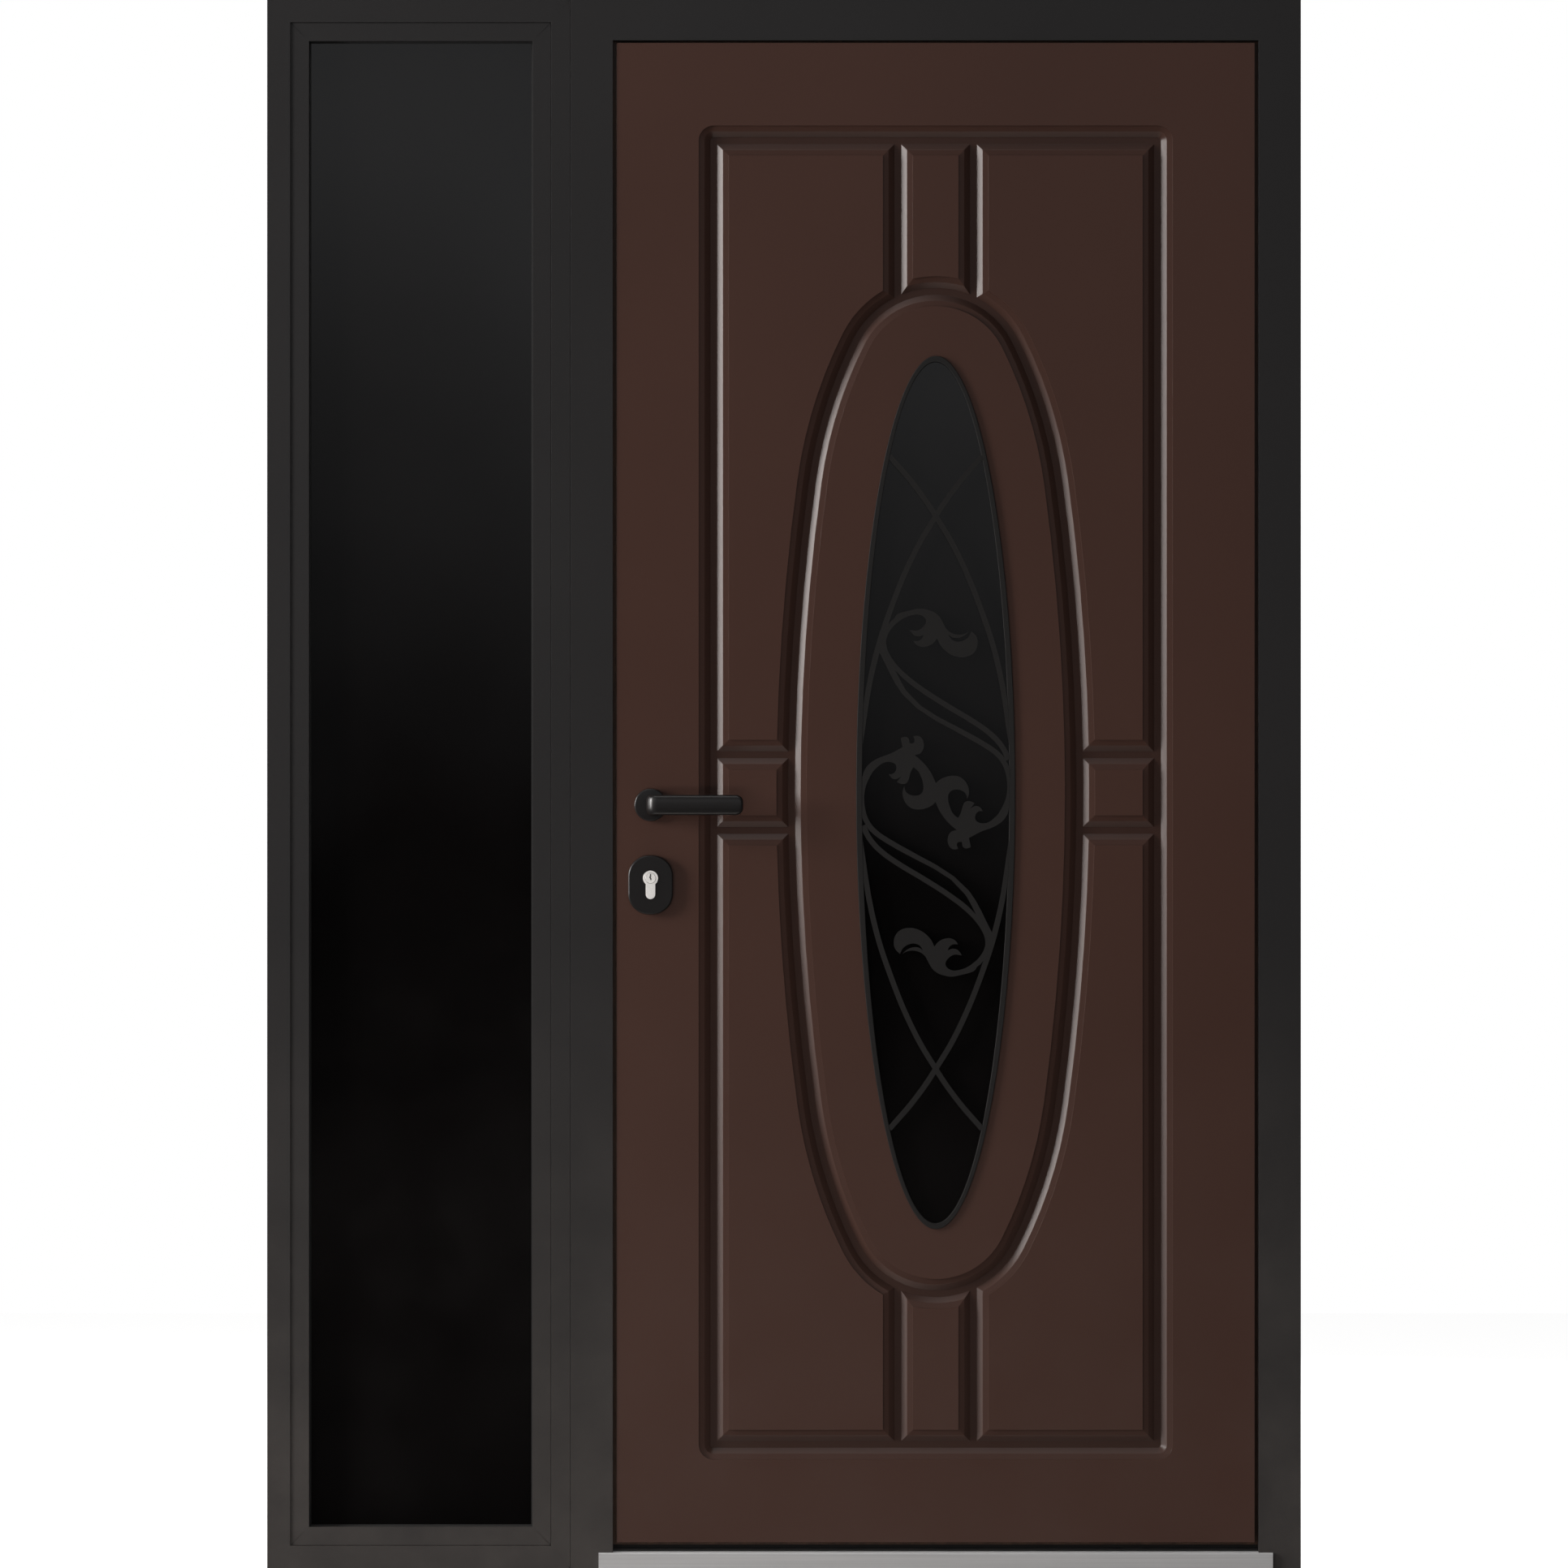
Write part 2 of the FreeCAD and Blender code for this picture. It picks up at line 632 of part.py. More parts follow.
finish(block("HingeStile", sash_right - stile_width, sash_right, sash_front, sash_back,
             sash_bottom, sash_top), "hinge_stile")
rail_left = sash_left + stile_width
rail_right = sash_right - stile_width
finish(block("TopRail", rail_left, rail_right, sash_front, sash_back, sash_top - stile_width, sash_top),
       "top_rail")
finish(block("BottomRail", rail_left, rail_right, sash_front, sash_back, sash_bottom,
             sash_bottom + stile_width), "bottom_rail")
core = block("Core_blank", rail_left, rail_right, sash_front, sash_back, sash_bottom + stile_width,
             sash_top - stile_width)
room_a = ring_a + unit_lap + rebate_play
room_b = ring_b + unit_lap + rebate_play
finish(cut("Core", core, [block("CoreHole", centre_x - room_a, centre_x + room_a, sash_front - 1,
                                sash_back + 1, centre_z - room_b, centre_z + room_b)]), "core")
finish(block("LeafSeal", sash_left + 2, sash_right - 2, sash_front + 3, sash_front + 9,
             sill_height + strip_height + 1, sash_bottom), "bottom_seal")

# Oval glass: two panes, spacer, grille ring outside and trim ring inside
unit_a = ring_a + unit_lap
unit_b = ring_b + unit_lap
finish(oval("DoorPaneOut", unit_a, unit_b, glass_front, glass_front + door_pane), "door_pane_outer")
finish(oval("DoorPaneIn", unit_a, unit_b, glass_back - door_pane, glass_back), "door_pane_inner")


def oval_ring(name, a, b, face, y0, y1):
    return cut(name, oval(name + "_outer", a, b, y0, y1),
               [oval(name + "_inner", a - face, b - face, size(y0) - 1, size(y1) + 1)])


finish(oval_ring("DoorSpacer", unit_a - 2, unit_b - 2, spacer_face, glass_front + door_pane,
                 glass_back - door_pane), "door_spacer")
finish(oval_ring("TrimRing", ring_a - ring_face + trim_face, ring_b - ring_face + trim_face, trim_face,
                 back, back + ring_proud), "inner_trim_ring")

# Grille: points are offsets from the centre of the glass, drawn for a ring of this size
drawn_a, drawn_b = 106.5, 584.2  # half-width and half-height
grille_front = leaf_face - ring_proud


def curve(points):
    """Points along a smooth line through offsets from the centre of the glass."""
    sx, sz = ring_a.value / drawn_a, ring_b.value / drawn_b
    corners = [V(centre_x.value + x * sx, grille_front.value, centre_z.value + z * sz) for x, z in points]
    if len(corners) == 2:
        return corners
    line = Part.BSplineCurve()
    line.interpolate(corners)
    return line.toShape().discretize(Deflection=scroll_step.value)


def strip(points):
    """A flat bar of even width along a smooth line."""
    line = curve(points)
    sides = ([], [])
    for i, point in enumerate(line):
        ahead = line[min(i + 1, len(line) - 1)] - line[max(i - 1, 0)]
        across = ahead.normalize().cross(V(0, 1, 0)) * (bar_width.value / 2)
        sides[0].append(point + across)
        sides[1].insert(0, point - across)
    corners = sides[0] + sides[1]
    return Part.Face(Part.makePolygon(corners + [corners[0]]))


def lobes(runs):
    """A leaf whose smooth edges meet at tips and notches; each run starts where the last ended."""
    corners = []
    for i, run in enumerate(runs):
        corners += curve(run + [runs[(i + 1) % len(runs)][0]])[:-1]
    return Part.Face(Part.makePolygon(corners + [corners[0]]))


cross_bar = [(-62, 450), (-27, 409), (0, 370), (28, 322), (56, 257), (78, 192), (92, 126), (98, 84)]
upper_strip = [(-14, 242), (-43, 237), (-64, 219), (-70, 202), (-63, 180), (-31, 147), (12, 118),
               (55, 92), (82, 70), (97, 44)]
lower_strip = [(-76, 196), (-73, 177), (-60, 149), (-31, 127), (12, 98), (55, 70), (90, 43),
               (99, 14), (96, -13), (78, -39), (51, -50)]
upper_leaf = [
    [(-53, 237), (-31, 245), (-8, 244), (6, 234), (16, 217), (26, 212)],
    [(45, 216), (34, 208), (24, 207)],
    [(17, 211), (28, 202), (40, 205)],
    [(48, 216), (56, 203), (51, 187), (34, 181), (15, 188)],
    [(2, 206), (-6, 198), (-20, 195)],
    [(-30, 203), (-21, 204)],
    [(-16, 211), (-26, 209)],
    [(-35, 218), (-22, 218), (-13, 230), (-25, 239), (-46, 232), (-62, 216)],
    [(-67, 205), (-69, 215), (-60, 227)]]
middle_leaf = [
    [(96, 2), (87, -24), (66, -41), (53, -36), (55, -27)],
    [(63, -25), (56, -18)],
    [(46, -22)],
    [(52, -14), (38, -14), (34, -26)],
    [(30, -34), (17, -12), (19, 1), (30, 4)],
    [(42, -9), (44, 5), (34, 20), (17, 22)],
    [(-1, 11)],
    [(-1, -11), (10, -32)],
    [(28, -50), (16, -62), (20, -74)],
    [(30, -75), (29, -67)],
    [(35, -66), (38, -74)],
    [(47, -73), (42, -64), (52, -56), (77, -46)],
    [(98, -22), (101, -10)]]


def scrollwork():
    """The scrolls inside the ring: one half, and the same turned half round about the centre."""
    half = [strip(cross_bar), strip([(-x, z) for x, z in cross_bar]), strip(upper_strip),
            strip(lower_strip), lobes(upper_leaf), lobes(middle_leaf)]
    faces = []
    for face in half:
        other = face.copy()
        other.rotate(V(centre_x.value, 0, centre_z.value), V(0, 1, 0), 180)
        faces += [face, other]
    whole = faces[0].multiFuse(faces[1:])
    rim = Part.Wire(Part.Ellipse(V(), ring_b.value - ring_face.value,
                                 ring_a.value - ring_face.value).toShape())
    rim.Placement = FreeCAD.Placement(V(centre_x.value, grille_front.value, centre_z.value), UPRIGHT)
    return whole.common(Part.Face(rim)).removeSplitter().extrude(V(0, grille_thick.value, 0))


scrolls = doc.addObject("Part::Feature", "GrilleScrolls")
scrolls.Shape = scrollwork()
finish(scrolls, "grille_scrolls")
finish(oval_ring("GrilleRing", ring_a, ring_b, ring_face, grille_front, glass_front), "grille_ring")

# Lock: case and faceplate in the stile, latch and bolt drawn back, strike on the jamb
case = block("LockCase_blank", sash_left + faceplate_thick, case_end, case_front, case_back, case_low,
             case_high)
finish(cut("LockCase", case, [lever_room("CaseSpindleHole", case_front - 1, case_back + 1),
                              lock_room("CaseLockHole", case_front - 1, case_back + 1)]), "lock_case")
latch_z = handle_z + latch_rise
bolt_z = lock_z - bolt_drop


def bolts(name, x0, x1, play):
    """Latch and bolt as blocks, grown by a gap where they stand for the holes they pass."""
    half = bolt_thick / 2 + play
    return [block(name + "_latch", x0, x1, -half, half, latch_z - latch_tall / 2 - play,
                  latch_z + latch_tall / 2 + play),
            block(name + "_bolt", x0, x1, -half, half, bolt_z - bolt_tall / 2 - play,
                  bolt_z + bolt_tall / 2 + play)]


plate = block("Faceplate_blank", sash_left, sash_left + faceplate_thick, plate_front, plate_back,
              plate_low, plate_high)
finish(cut("Faceplate", plate, bolts("PlateRoom", sash_left - 1, sash_left + faceplate_thick + 1, bolt_play)),
       "faceplate")
finish(fuse("LatchBolt", bolts("Drawn", sash_left, sash_left + faceplate_thick, 0.0)), "latch_and_bolt")
strike = block("Strike_blank", core_left, core_left + strike_thick, plate_front, plate_back, plate_low,
               plate_high)
finish(cut("Strike", strike, bolts("StrikeRoom", core_left - 1, core_left + strike_thick + 1, strike_play)),
       "strike_plate")

# Roses and escutcheons on both faces
roses = []
for name, y0, y1 in (("RoseOut", leaf_face - rose_thick, leaf_face), ("RoseIn", back, back + rose_thick)):
    roses.append(cut(name, rod(name + "_disc", handle_x, y0, handle_z, rose_radius, rose_thick),
                     [lever_room(name + "_hole", y0 - 1, y1 + 1)]))
finish(fuse("Roses", roses), "lever_roses")

plate_z = lock_z - plate_drop
plates = []
for name, y0, y1 in (("EscutcheonOut", leaf_face - rose_thick, leaf_face),
                     ("EscutcheonIn", back, back + rose_thick)):
    body = new_body(name + "_body")
    hw, hh = plate_wide / 2, plate_tall / 2
    pad(body, name + "_pad", [(handle_x - hw, plate_z - hh), (handle_x + hw, plate_z - hh),
                              (handle_x + hw, plate_z + hh), (handle_x - hw, plate_z + hh)], y0, y1)
    dress(body, "Fillet", name + "_round", plate_round,
          lambda e: e.BoundBox.XLength < 0.01 and e.BoundBox.ZLength < 0.01)
    face_y = (y0 if "Out" in name else y1).value
    dress(body, "Chamfer", name + "_edge", fitting_edge,
          lambda e: abs(e.BoundBox.YMin - face_y) < 0.01 and abs(e.BoundBox.YMax - face_y) < 0.01)
    plates.append(cut(name, body, [lock_shape(name + "_hole", y0 - 1, y1 + 1)]))
finish(fuse("Escutcheons", plates), "escutcheons")

# Lock cylinder with its turning plug
cyl_front = leaf_face - rose_thick - 1
cyl_back = back + rose_thick + 1
cylinder = lock_shape("Cylinder_blank", cyl_front, cyl_back)
finish(cut("Cylinder", cylinder, [
    rod("PlugRoom", handle_x, cyl_front - 1, lock_z, plug_round / 2 + plug_play, plug_length + 1.5)]),
    "lock_cylinder")
plug = rod("Plug_blank", handle_x, cyl_front - 0.4, lock_z, plug_round / 2, plug_length)
half = keyway_wide / 2
steps = [(half * 0.4, keyway_tall, keyway_tall * 0.45), (-half * 0.6, keyway_tall * 0.45, 0.0),
         (half * 0.6, 0.0, -keyway_tall * 0.4)]
finish(cut("Plug", plug, [
    block("Keyway%d" % (i + 1), handle_x + shift - half, handle_x + shift + half, cyl_front - 2,
          cyl_front + keyway_deep, lock_z + low, lock_z + high)
    for i, (shift, high, low) in enumerate(steps)]),
    "key_plug")

# Levers: one bar bent over a neck, outside and inside, on a square spindle
for name, label, face, away in (("LeverOut", "lever_outer", leaf_face, -1),
                                ("LeverIn", "lever_inner", back, 1)):
    base = face + away * (rose_thick + 0.5)
    outer = face + away * lever_reach
    inner = outer - away * lever_thick
    body = new_body(name)
    x0 = handle_x - lever_heel
    x1 = x0 + lever_thick
    end = handle_x + lever_length
    outline = [(x0, base), (x0, outer), (end, outer), (end, inner), (x1, inner), (x1, base)]
    sketch = polygon(body, name + "_outline", outline, "XY_Plane", handle_z - lever_tall / 2)
    lever = body.newObject("PartDesign::Pad", name + "_bar")
    lever.Profile = sketch
    lever.Length = lever_tall.value
    text(lever, "Length", lever_tall)

    def upright(e, x, y):
        box = e.BoundBox
        return (box.XLength < 0.01 and box.YLength < 0.01 and abs(box.XMin - x.value) < 0.01
                and abs(box.YMin - y.value) < 0.01)

    low_z = (handle_z - lever_tall / 2).value
    high_z = (handle_z + lever_tall / 2).value
    dress(body, "Fillet", name + "_bend_outer", lever_thick + 2, lambda e: upright(e, x0, outer))
    dress(body, "Fillet", name + "_bend_inner", 4.0, lambda e: upright(e, x1, inner))
    dress(body, "Fillet", name + "_end", lever_end,
          lambda e: abs(e.BoundBox.XMin - end.value) < 0.01 and e.BoundBox.ZLength < 0.01)
    dress(body, "Chamfer", name + "_bevel", lever_bevel,
          lambda e: (abs(e.BoundBox.ZMin - low_z) < 0.01 or abs(e.BoundBox.ZMax - high_z) < 0.01)
          and e.BoundBox.XLength > 1.0 and not (abs(e.BoundBox.YMin - base.value) < 0.01
                                                and e.BoundBox.YLength < 0.01))
    finish(body, label)
half_square = spindle_side / 2
finish(block("Spindle", handle_x - half_square, handle_x + half_square, leaf_face - rose_thick - 0.5,
             back + rose_thick + 0.5, handle_z - half_square, handle_z + half_square), "spindle")

# Hinges: frame knuckle below, leaf knuckle above, pin with a cap
frame_halves, leaf_halves, pins = [], [], []
hinge_high = overall_height - hinge_end
for number, level in enumerate((hinge_end, hinge_high - hinge_apart, hinge_high)):
    tag = str(number + 1)
    wing_low, wing_high = level - knuckle, level + knuckle
    frame_halves.append(fuse("FrameHalf" + tag, [
        rod("FrameKnuckle" + tag, axis_x, axis_y, wing_low, barrel, knuckle - 1, ALONG_Z),
        block("FrameWing" + tag, core_right + 1, core_right + 1 + wing_width, back, back + wing_thick,
              wing_low, level - 1)]))
    half = fuse("LeafHalf%s_blank" % tag, [
        rod("LeafKnuckle" + tag, axis_x, axis_y, level + 1, barrel, knuckle - 1, ALONG_Z),
        block("LeafWing" + tag, inner_right - 1 - wing_width, inner_right - 1, back, back + wing_thick,
              level + 1, wing_high)])
    leaf_halves.append(cut("LeafHalf" + tag, half, [
        rod("LeafBore" + tag, axis_x, axis_y, level, pin_radius + pin_play, knuckle + 2, ALONG_Z)]))
    pins.append(fuse("Pin" + tag, [
        rod("PinShank" + tag, axis_x, axis_y, level - 1, pin_radius, knuckle + 2, ALONG_Z),
        rod("PinCap" + tag, axis_x, axis_y, wing_high + 1, barrel, pin_cap, ALONG_Z)]))
finish(fuse("HingeFrameHalves", frame_halves), "hinge_frame_halves")
finish(fuse("HingeLeafHalves", leaf_halves), "hinge_leaf_halves")
finish(fuse("HingePins", pins), "hinge_pins")

doc.recompute()
for obj in doc.Objects:
    if "Invalid" in obj.State or "Error" in obj.State:
        raise ValueError("%s is %s" % (obj.Name, obj.State))
os.makedirs("parts", exist_ok=True)
for obj in finished:
    shape = obj.Shape
    if shape.isNull() or not shape.isValid() or shape.Volume <= 0:
        raise ValueError("%s has no sound shape" % obj.Label)
for obj in finished:
    obj.Shape.exportStep("parts/%s.step" % obj.Label)
print(len(finished), "pieces")
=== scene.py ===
"""Looks of an entrance door with a fixed sidelight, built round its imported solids.

Metres, X to the right, Y into the building, Z up. Sizes in millimetres are multiplied by MM.
"""
import json
import math

import bmesh
import bpy
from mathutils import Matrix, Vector
from mathutils.geometry import interpolate_bezier
from mathutils.kdtree import KDTree

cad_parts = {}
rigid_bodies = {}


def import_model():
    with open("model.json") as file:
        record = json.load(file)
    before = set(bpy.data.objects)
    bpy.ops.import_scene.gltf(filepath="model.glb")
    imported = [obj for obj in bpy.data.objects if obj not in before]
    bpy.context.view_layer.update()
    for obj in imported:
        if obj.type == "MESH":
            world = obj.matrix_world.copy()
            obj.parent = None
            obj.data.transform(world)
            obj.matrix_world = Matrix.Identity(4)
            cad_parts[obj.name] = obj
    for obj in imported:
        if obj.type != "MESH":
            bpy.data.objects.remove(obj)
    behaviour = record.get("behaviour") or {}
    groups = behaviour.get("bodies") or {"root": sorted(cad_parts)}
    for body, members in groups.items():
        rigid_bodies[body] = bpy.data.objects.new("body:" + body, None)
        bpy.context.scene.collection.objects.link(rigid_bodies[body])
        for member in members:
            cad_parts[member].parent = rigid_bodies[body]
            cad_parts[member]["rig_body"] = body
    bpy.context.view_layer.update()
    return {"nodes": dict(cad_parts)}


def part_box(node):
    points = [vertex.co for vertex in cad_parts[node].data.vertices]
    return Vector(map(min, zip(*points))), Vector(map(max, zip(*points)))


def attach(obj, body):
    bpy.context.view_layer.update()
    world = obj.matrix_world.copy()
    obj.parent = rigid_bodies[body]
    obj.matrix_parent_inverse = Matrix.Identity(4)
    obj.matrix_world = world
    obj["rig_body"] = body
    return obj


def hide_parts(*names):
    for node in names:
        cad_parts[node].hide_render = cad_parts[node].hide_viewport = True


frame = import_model()
nodes = frame["nodes"]

MM = 0.001
TOUCH = 0.01 * MM  # places nearer than this are the same

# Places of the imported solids
FRAME_FACE, FRAME_HEIGHT = -0.0385, 2.1
LEAF_FACE, INNER_FACE = -0.0365, 0.0385
LEVER_X, LEVER_Z = -0.1785, 1.022
HINGE_LEVELS = (0.24, 1.62, 1.86)  # where the two halves of each hinge meet
WING_THICK, ESCUTCHEON_THICK = 6.0 * MM, 8.0 * MM
GROOVE_DEEP = 9.0 * MM  # depth of the routed grooves
LIP_DEEP = 2.4 * MM  # depth of the square step at their lips, and a little more
RIM = 10.0 * MM  # border of the outer panel
JOINT = 0.5 * MM  # gap between the bars of the sidelight, at the front

WHITE, WARM = (1.0, 1.0, 1.0), (1.0, 0.93, 0.88)


# Shader and geometry trees
def feed(tree, node, values):
    """Fills inputs of a node; a value is a number, a colour or the socket that feeds the input."""
    for name, value in values.items():
        if isinstance(value, bpy.types.NodeSocket):
            tree.links.new(value, node.inputs[name])
        else:
            node.inputs[name].default_value = value


def put(tree, kind, values=None, **settings):
    """Adds a node to a tree, with its settings and inputs."""
    made = tree.nodes.new(kind)
    for name, value in settings.items():
        setattr(made, name, value)
    feed(tree, made, values or {})
    return made


def new_tree(name, kind, inputs, outputs):
    """A node group with named inputs and outputs; gives its tree, input sockets and output node."""
    tree = bpy.data.node_groups.new(name, kind)
    for label, socket, value in inputs:
        item = tree.interface.new_socket(label, in_out="INPUT", socket_type="NodeSocket" + socket)
        if value is not None:
            item.default_value = value
    for label, socket in outputs:
        tree.interface.new_socket(label, in_out="OUTPUT", socket_type="NodeSocket" + socket)
    return tree, tree.nodes.new("NodeGroupInput").outputs, tree.nodes.new("NodeGroupOutput")


def math_node(tree, operation, a, b=0.0, clamp=False):
    return put(tree, "ShaderNodeMath", {0: a, 1: b}, operation=operation,
               use_clamp=clamp).outputs[0]


def remap(tree, value, low, high, new_low, new_high):
    return put(tree, "ShaderNodeMapRange",
               {0: value, 1: low, 2: high, 3: new_low, 4: new_high}).outputs[0]


def axis_of(tree, vector, axis):
    return put(tree, "ShaderNodeSeparateXYZ", {0: vector}).outputs[axis]


def blend(tree, factor, a, b):
    return put(tree, "ShaderNodeMix", {0: factor, 2: a, 3: b}).outputs[0]


def blend_colours(tree, factor, a, b, kind="MIX"):
    return put(tree, "ShaderNodeMix", {0: factor, 6: a, 7: b}, data_type="RGBA",
               blend_type=kind).outputs[2]


def shaded(tree, colour, light):
    """A colour multiplied by a value."""
    grey = put(tree, "ShaderNodeCombineColor", {0: light, 1: light, 2: light}).outputs[0]
    return blend_colours(tree, 1.0, colour, grey, "MULTIPLY")


def noise(tree, vector, scale, detail=2.0, roughness=0.5):
    return put(tree, "ShaderNodeTexNoise", {"Vector": vector, "Scale": scale, "Detail": detail,
                                            "Roughness": roughness}).outputs[0]


def stretch(tree, vector, scale):
    return put(tree, "ShaderNodeMapping", {"Vector": vector, "Scale": scale}).outputs[0]


def bump(tree, height, strength, distance):
    return put(tree, "ShaderNodeBump", {"Height": height, "Strength": strength,
                                        "Distance": distance}).outputs[0]


def powder_coat():
    """Sprayed coat: fine orange peel, tiny specks and slow changes of tone."""
    tree, inp, out = new_tree("powder_coat", "ShaderNodeTree", [
        ("Vector", "Vector", None), ("Colour", "Color", (0.05, 0.05, 0.05, 1)),
        ("Speck", "Float", 0.1), ("Tone", "Float", 0.08), ("Peel", "Float", 0.1),
        ("Smooth", "Float", 0.4), ("Rough", "Float", 0.5)],
        [("Colour", "Color"), ("Roughness", "Float"), ("Normal", "Vector")])
    slow = noise(tree, inp["Vector"], 2.3, 3.0)
    fine = noise(tree, inp["Vector"], 1400.0, 1.0)
    peel = noise(tree, inp["Vector"], 420.0, 2.0)
    tone = math_node(tree, "MULTIPLY", remap(tree, slow, 0.3, 0.7, -1.0, 1.0), inp["Tone"])
    speck = math_node(tree, "MULTIPLY", remap(tree, fine, 0.3, 0.7, -1.0, 1.0), inp["Speck"])
    light = math_node(tree, "ADD", math_node(tree, "ADD", tone, speck), 1.0)
    feed(tree, out, {"Colour": shaded(tree, inp["Colour"], light),
                     "Roughness": blend(tree, slow, inp["Smooth"], inp["Rough"]),
                     "Normal": bump(tree, peel, inp["Peel"], 0.4 * MM)})
    return tree


def paler_to_ground():
    """A paler, warmer colour that grows towards the ground, broken up by noise."""
    tree, inp, out = new_tree("paler_to_ground", "ShaderNodeTree", [
        ("Vector", "Vector", None), ("Colour", "Color", (0.05, 0.05, 0.05, 1)),
        ("Dust", "Color", (0.12, 0.11, 0.1, 1)), ("Height", "Float", 0.5),
        ("Amount", "Float", 0.2)], [("Colour", "Color")])
    rise = math_node(tree, "DIVIDE", axis_of(tree, inp["Vector"], 2), inp["Height"])
    low = math_node(tree, "SUBTRACT", 1.0, rise, clamp=True)
    cloud = remap(tree, noise(tree, inp["Vector"], 9.0, 6.0, 0.6), 0.3, 0.75, 0.35, 1.0)
    mask = math_node(tree, "MULTIPLY", math_node(tree, "MULTIPLY", low, cloud), inp["Amount"],
                     clamp=True)
    feed(tree, out, {"Colour": blend_colours(tree, mask, inp["Colour"], inp["Dust"])})
    return tree


def brushed():
    """Metal worked in one direction: fine streaks in tone, roughness and relief."""
    tree, inp, out = new_tree("brushed", "ShaderNodeTree", [
        ("Vector", "Vector", None), ("Colour", "Color", (0.5, 0.5, 0.5, 1)),
        ("Streak", "Float", 0.15), ("Smooth", "Float", 0.25), ("Rough", "Float", 0.45),
        ("Relief", "Float", 0.1)],
        [("Colour", "Color"), ("Roughness", "Float"), ("Normal", "Vector")])
    streak = noise(tree, inp["Vector"], 1.0, 3.0, 0.65)
    tone = math_node(tree, "MULTIPLY", remap(tree, streak, 0.25, 0.75, -1.0, 1.0), inp["Streak"])
    light = math_node(tree, "ADD", 1.0, tone)
    feed(tree, out, {"Colour": shaded(tree, inp["Colour"], light),
                     "Roughness": blend(tree, streak, inp["Smooth"], inp["Rough"]),
                     "Normal": bump(tree, streak, inp["Relief"], 0.2 * MM)})
    return tree


POWDER_COAT, PALER_TO_GROUND, BRUSHED = powder_coat(), paler_to_ground(), brushed()


# Materials
def new_material(name):
    """A material with its tree, its shader and its Object coordinates."""
    made = bpy.data.materials.new(name)
    made.use_nodes = True
    tree = made.node_tree
    place = put(tree, "ShaderNodeTexCoord").outputs["Object"]
    return made, tree, tree.nodes["Principled BSDF"], place


def use_group(tree, group, values):
    """Places a shared shader group in a material with its own values."""
    return put(tree, "ShaderNodeGroup", values, node_tree=group).outputs


def coated(name, colour, gloss, speck, peel, shine, dust=0.0, groove_shade=1.0):
    """Powder coat. gloss is its range of roughness, and the last argument, painted shade, is the
    share of the colour that is left at the bottom of the routed grooves, darker with the depth."""
    made, tree, shader, place = new_material(name)
    coat = use_group(tree, POWDER_COAT, {
        "Vector": place, "Colour": colour, "Speck": speck, "Tone": 0.05, "Peel": peel,
        "Smooth": gloss[0], "Rough": gloss[1]})
    # Paler and warmer towards the ground, in clouds of noise.
    tone = use_group(tree, PALER_TO_GROUND, {
        "Vector": place, "Colour": coat["Colour"], "Dust": (0.1, 0.088, 0.08, 1),
        "Amount": dust, "Height": 0.85})["Colour"]
    # Painted shade: the coat turns darker with depth into the routed grooves, where shade falls.
    if groove_shade < 1.0:
        left = remap(tree, axis_of(tree, place, 1), LEAF_FACE + 0.5 * MM,
                     LEAF_FACE + GROOVE_DEEP, 1.0, groove_shade)
        tone = shaded(tree, tone, left)
    feed(tree, shader, {"Base Color": tone, "Roughness": coat["Roughness"],
                        "Normal": coat["Normal"], "Specular IOR Level": shine})
    return made


def metal(name, colour, grain, streak, gloss, relief, metallic=1.0):
    """Brushed metal. grain is the scale of its streaks along each axis."""
    made, tree, shader, place = new_material(name)
    worked = use_group(tree, BRUSHED, {
        "Vector": stretch(tree, place, grain), "Colour": colour, "Streak": streak,
        "Smooth": gloss[0], "Rough": gloss[1], "Relief": relief})
    feed(tree, shader, {"Base Color": worked["Colour"], "Roughness": worked["Roughness"],
                        "Normal": worked["Normal"], "Metallic": metallic})
    return made


def matt(name, light, dark, scale, roughness, depth):
    """Rubber, plastic or foam: clouds of two tones and a fine relief."""
    made, tree, shader, place = new_material(name)
    cloud = noise(tree, place, scale, 4.0, 0.6)
    spread = 0.08
    feed(tree, shader, {
        "Base Color": blend_colours(tree, cloud, dark, light),
        "Roughness": remap(tree, cloud, 0.3, 0.7, roughness - spread, roughness + spread),
        "Normal": bump(tree, noise(tree, place, scale * 4, 2.0), depth, 0.5 * MM)})
    return made


def tinted_glass():
    """Nearly black solar glass with a faint film of dust."""
    made, tree, shader, place = new_material("tinted_glass")
    film = noise(tree, place, 5.0, 5.0, 0.6)
    clean, dusty = (0.003, 0.0025, 0.0025, 1), (0.007, 0.006, 0.006, 1)
    feed(tree, shader, {
        "Base Color": blend_colours(tree, film, clean, dusty),
        "Roughness": remap(tree, film, 0.3, 0.8, 0.02, 0.09),
        "Normal": bump(tree, noise(tree, place, 7.0, 1.0), 0.02, 2.0 * MM),
        "Transmission Weight": 0.55, "IOR": 1.5})
    return made


def lacquered_wood():
    """Dark stained wood of the leaf's edges, with grain along the stiles."""
    made, tree, shader, place = new_material("stile_wood")
    dark, light, pore = (0.045, 0.022, 0.014, 1), (0.105, 0.055, 0.034, 1), (0.02, 0.01, 0.007, 1)
    grain = noise(tree, stretch(tree, place, (90.0, 90.0, 4.0)), 1.0, 5.0, 0.6)
    pores = noise(tree, stretch(tree, place, (900.0, 900.0, 30.0)), 1.0, 2.0)
    tone = blend_colours(tree, remap(tree, grain, 0.3, 0.7, 0.0, 1.0), dark, light)
    tone = blend_colours(tree, remap(tree, pores, 0.5, 0.7, 0.0, 0.5), tone, pore)
    feed(tree, shader, {"Base Color": tone,
                        "Roughness": remap(tree, grain, 0.3, 0.7, 0.35, 0.5),
                        "Normal": bump(tree, pores, 0.25, 0.2 * MM)})
    return made


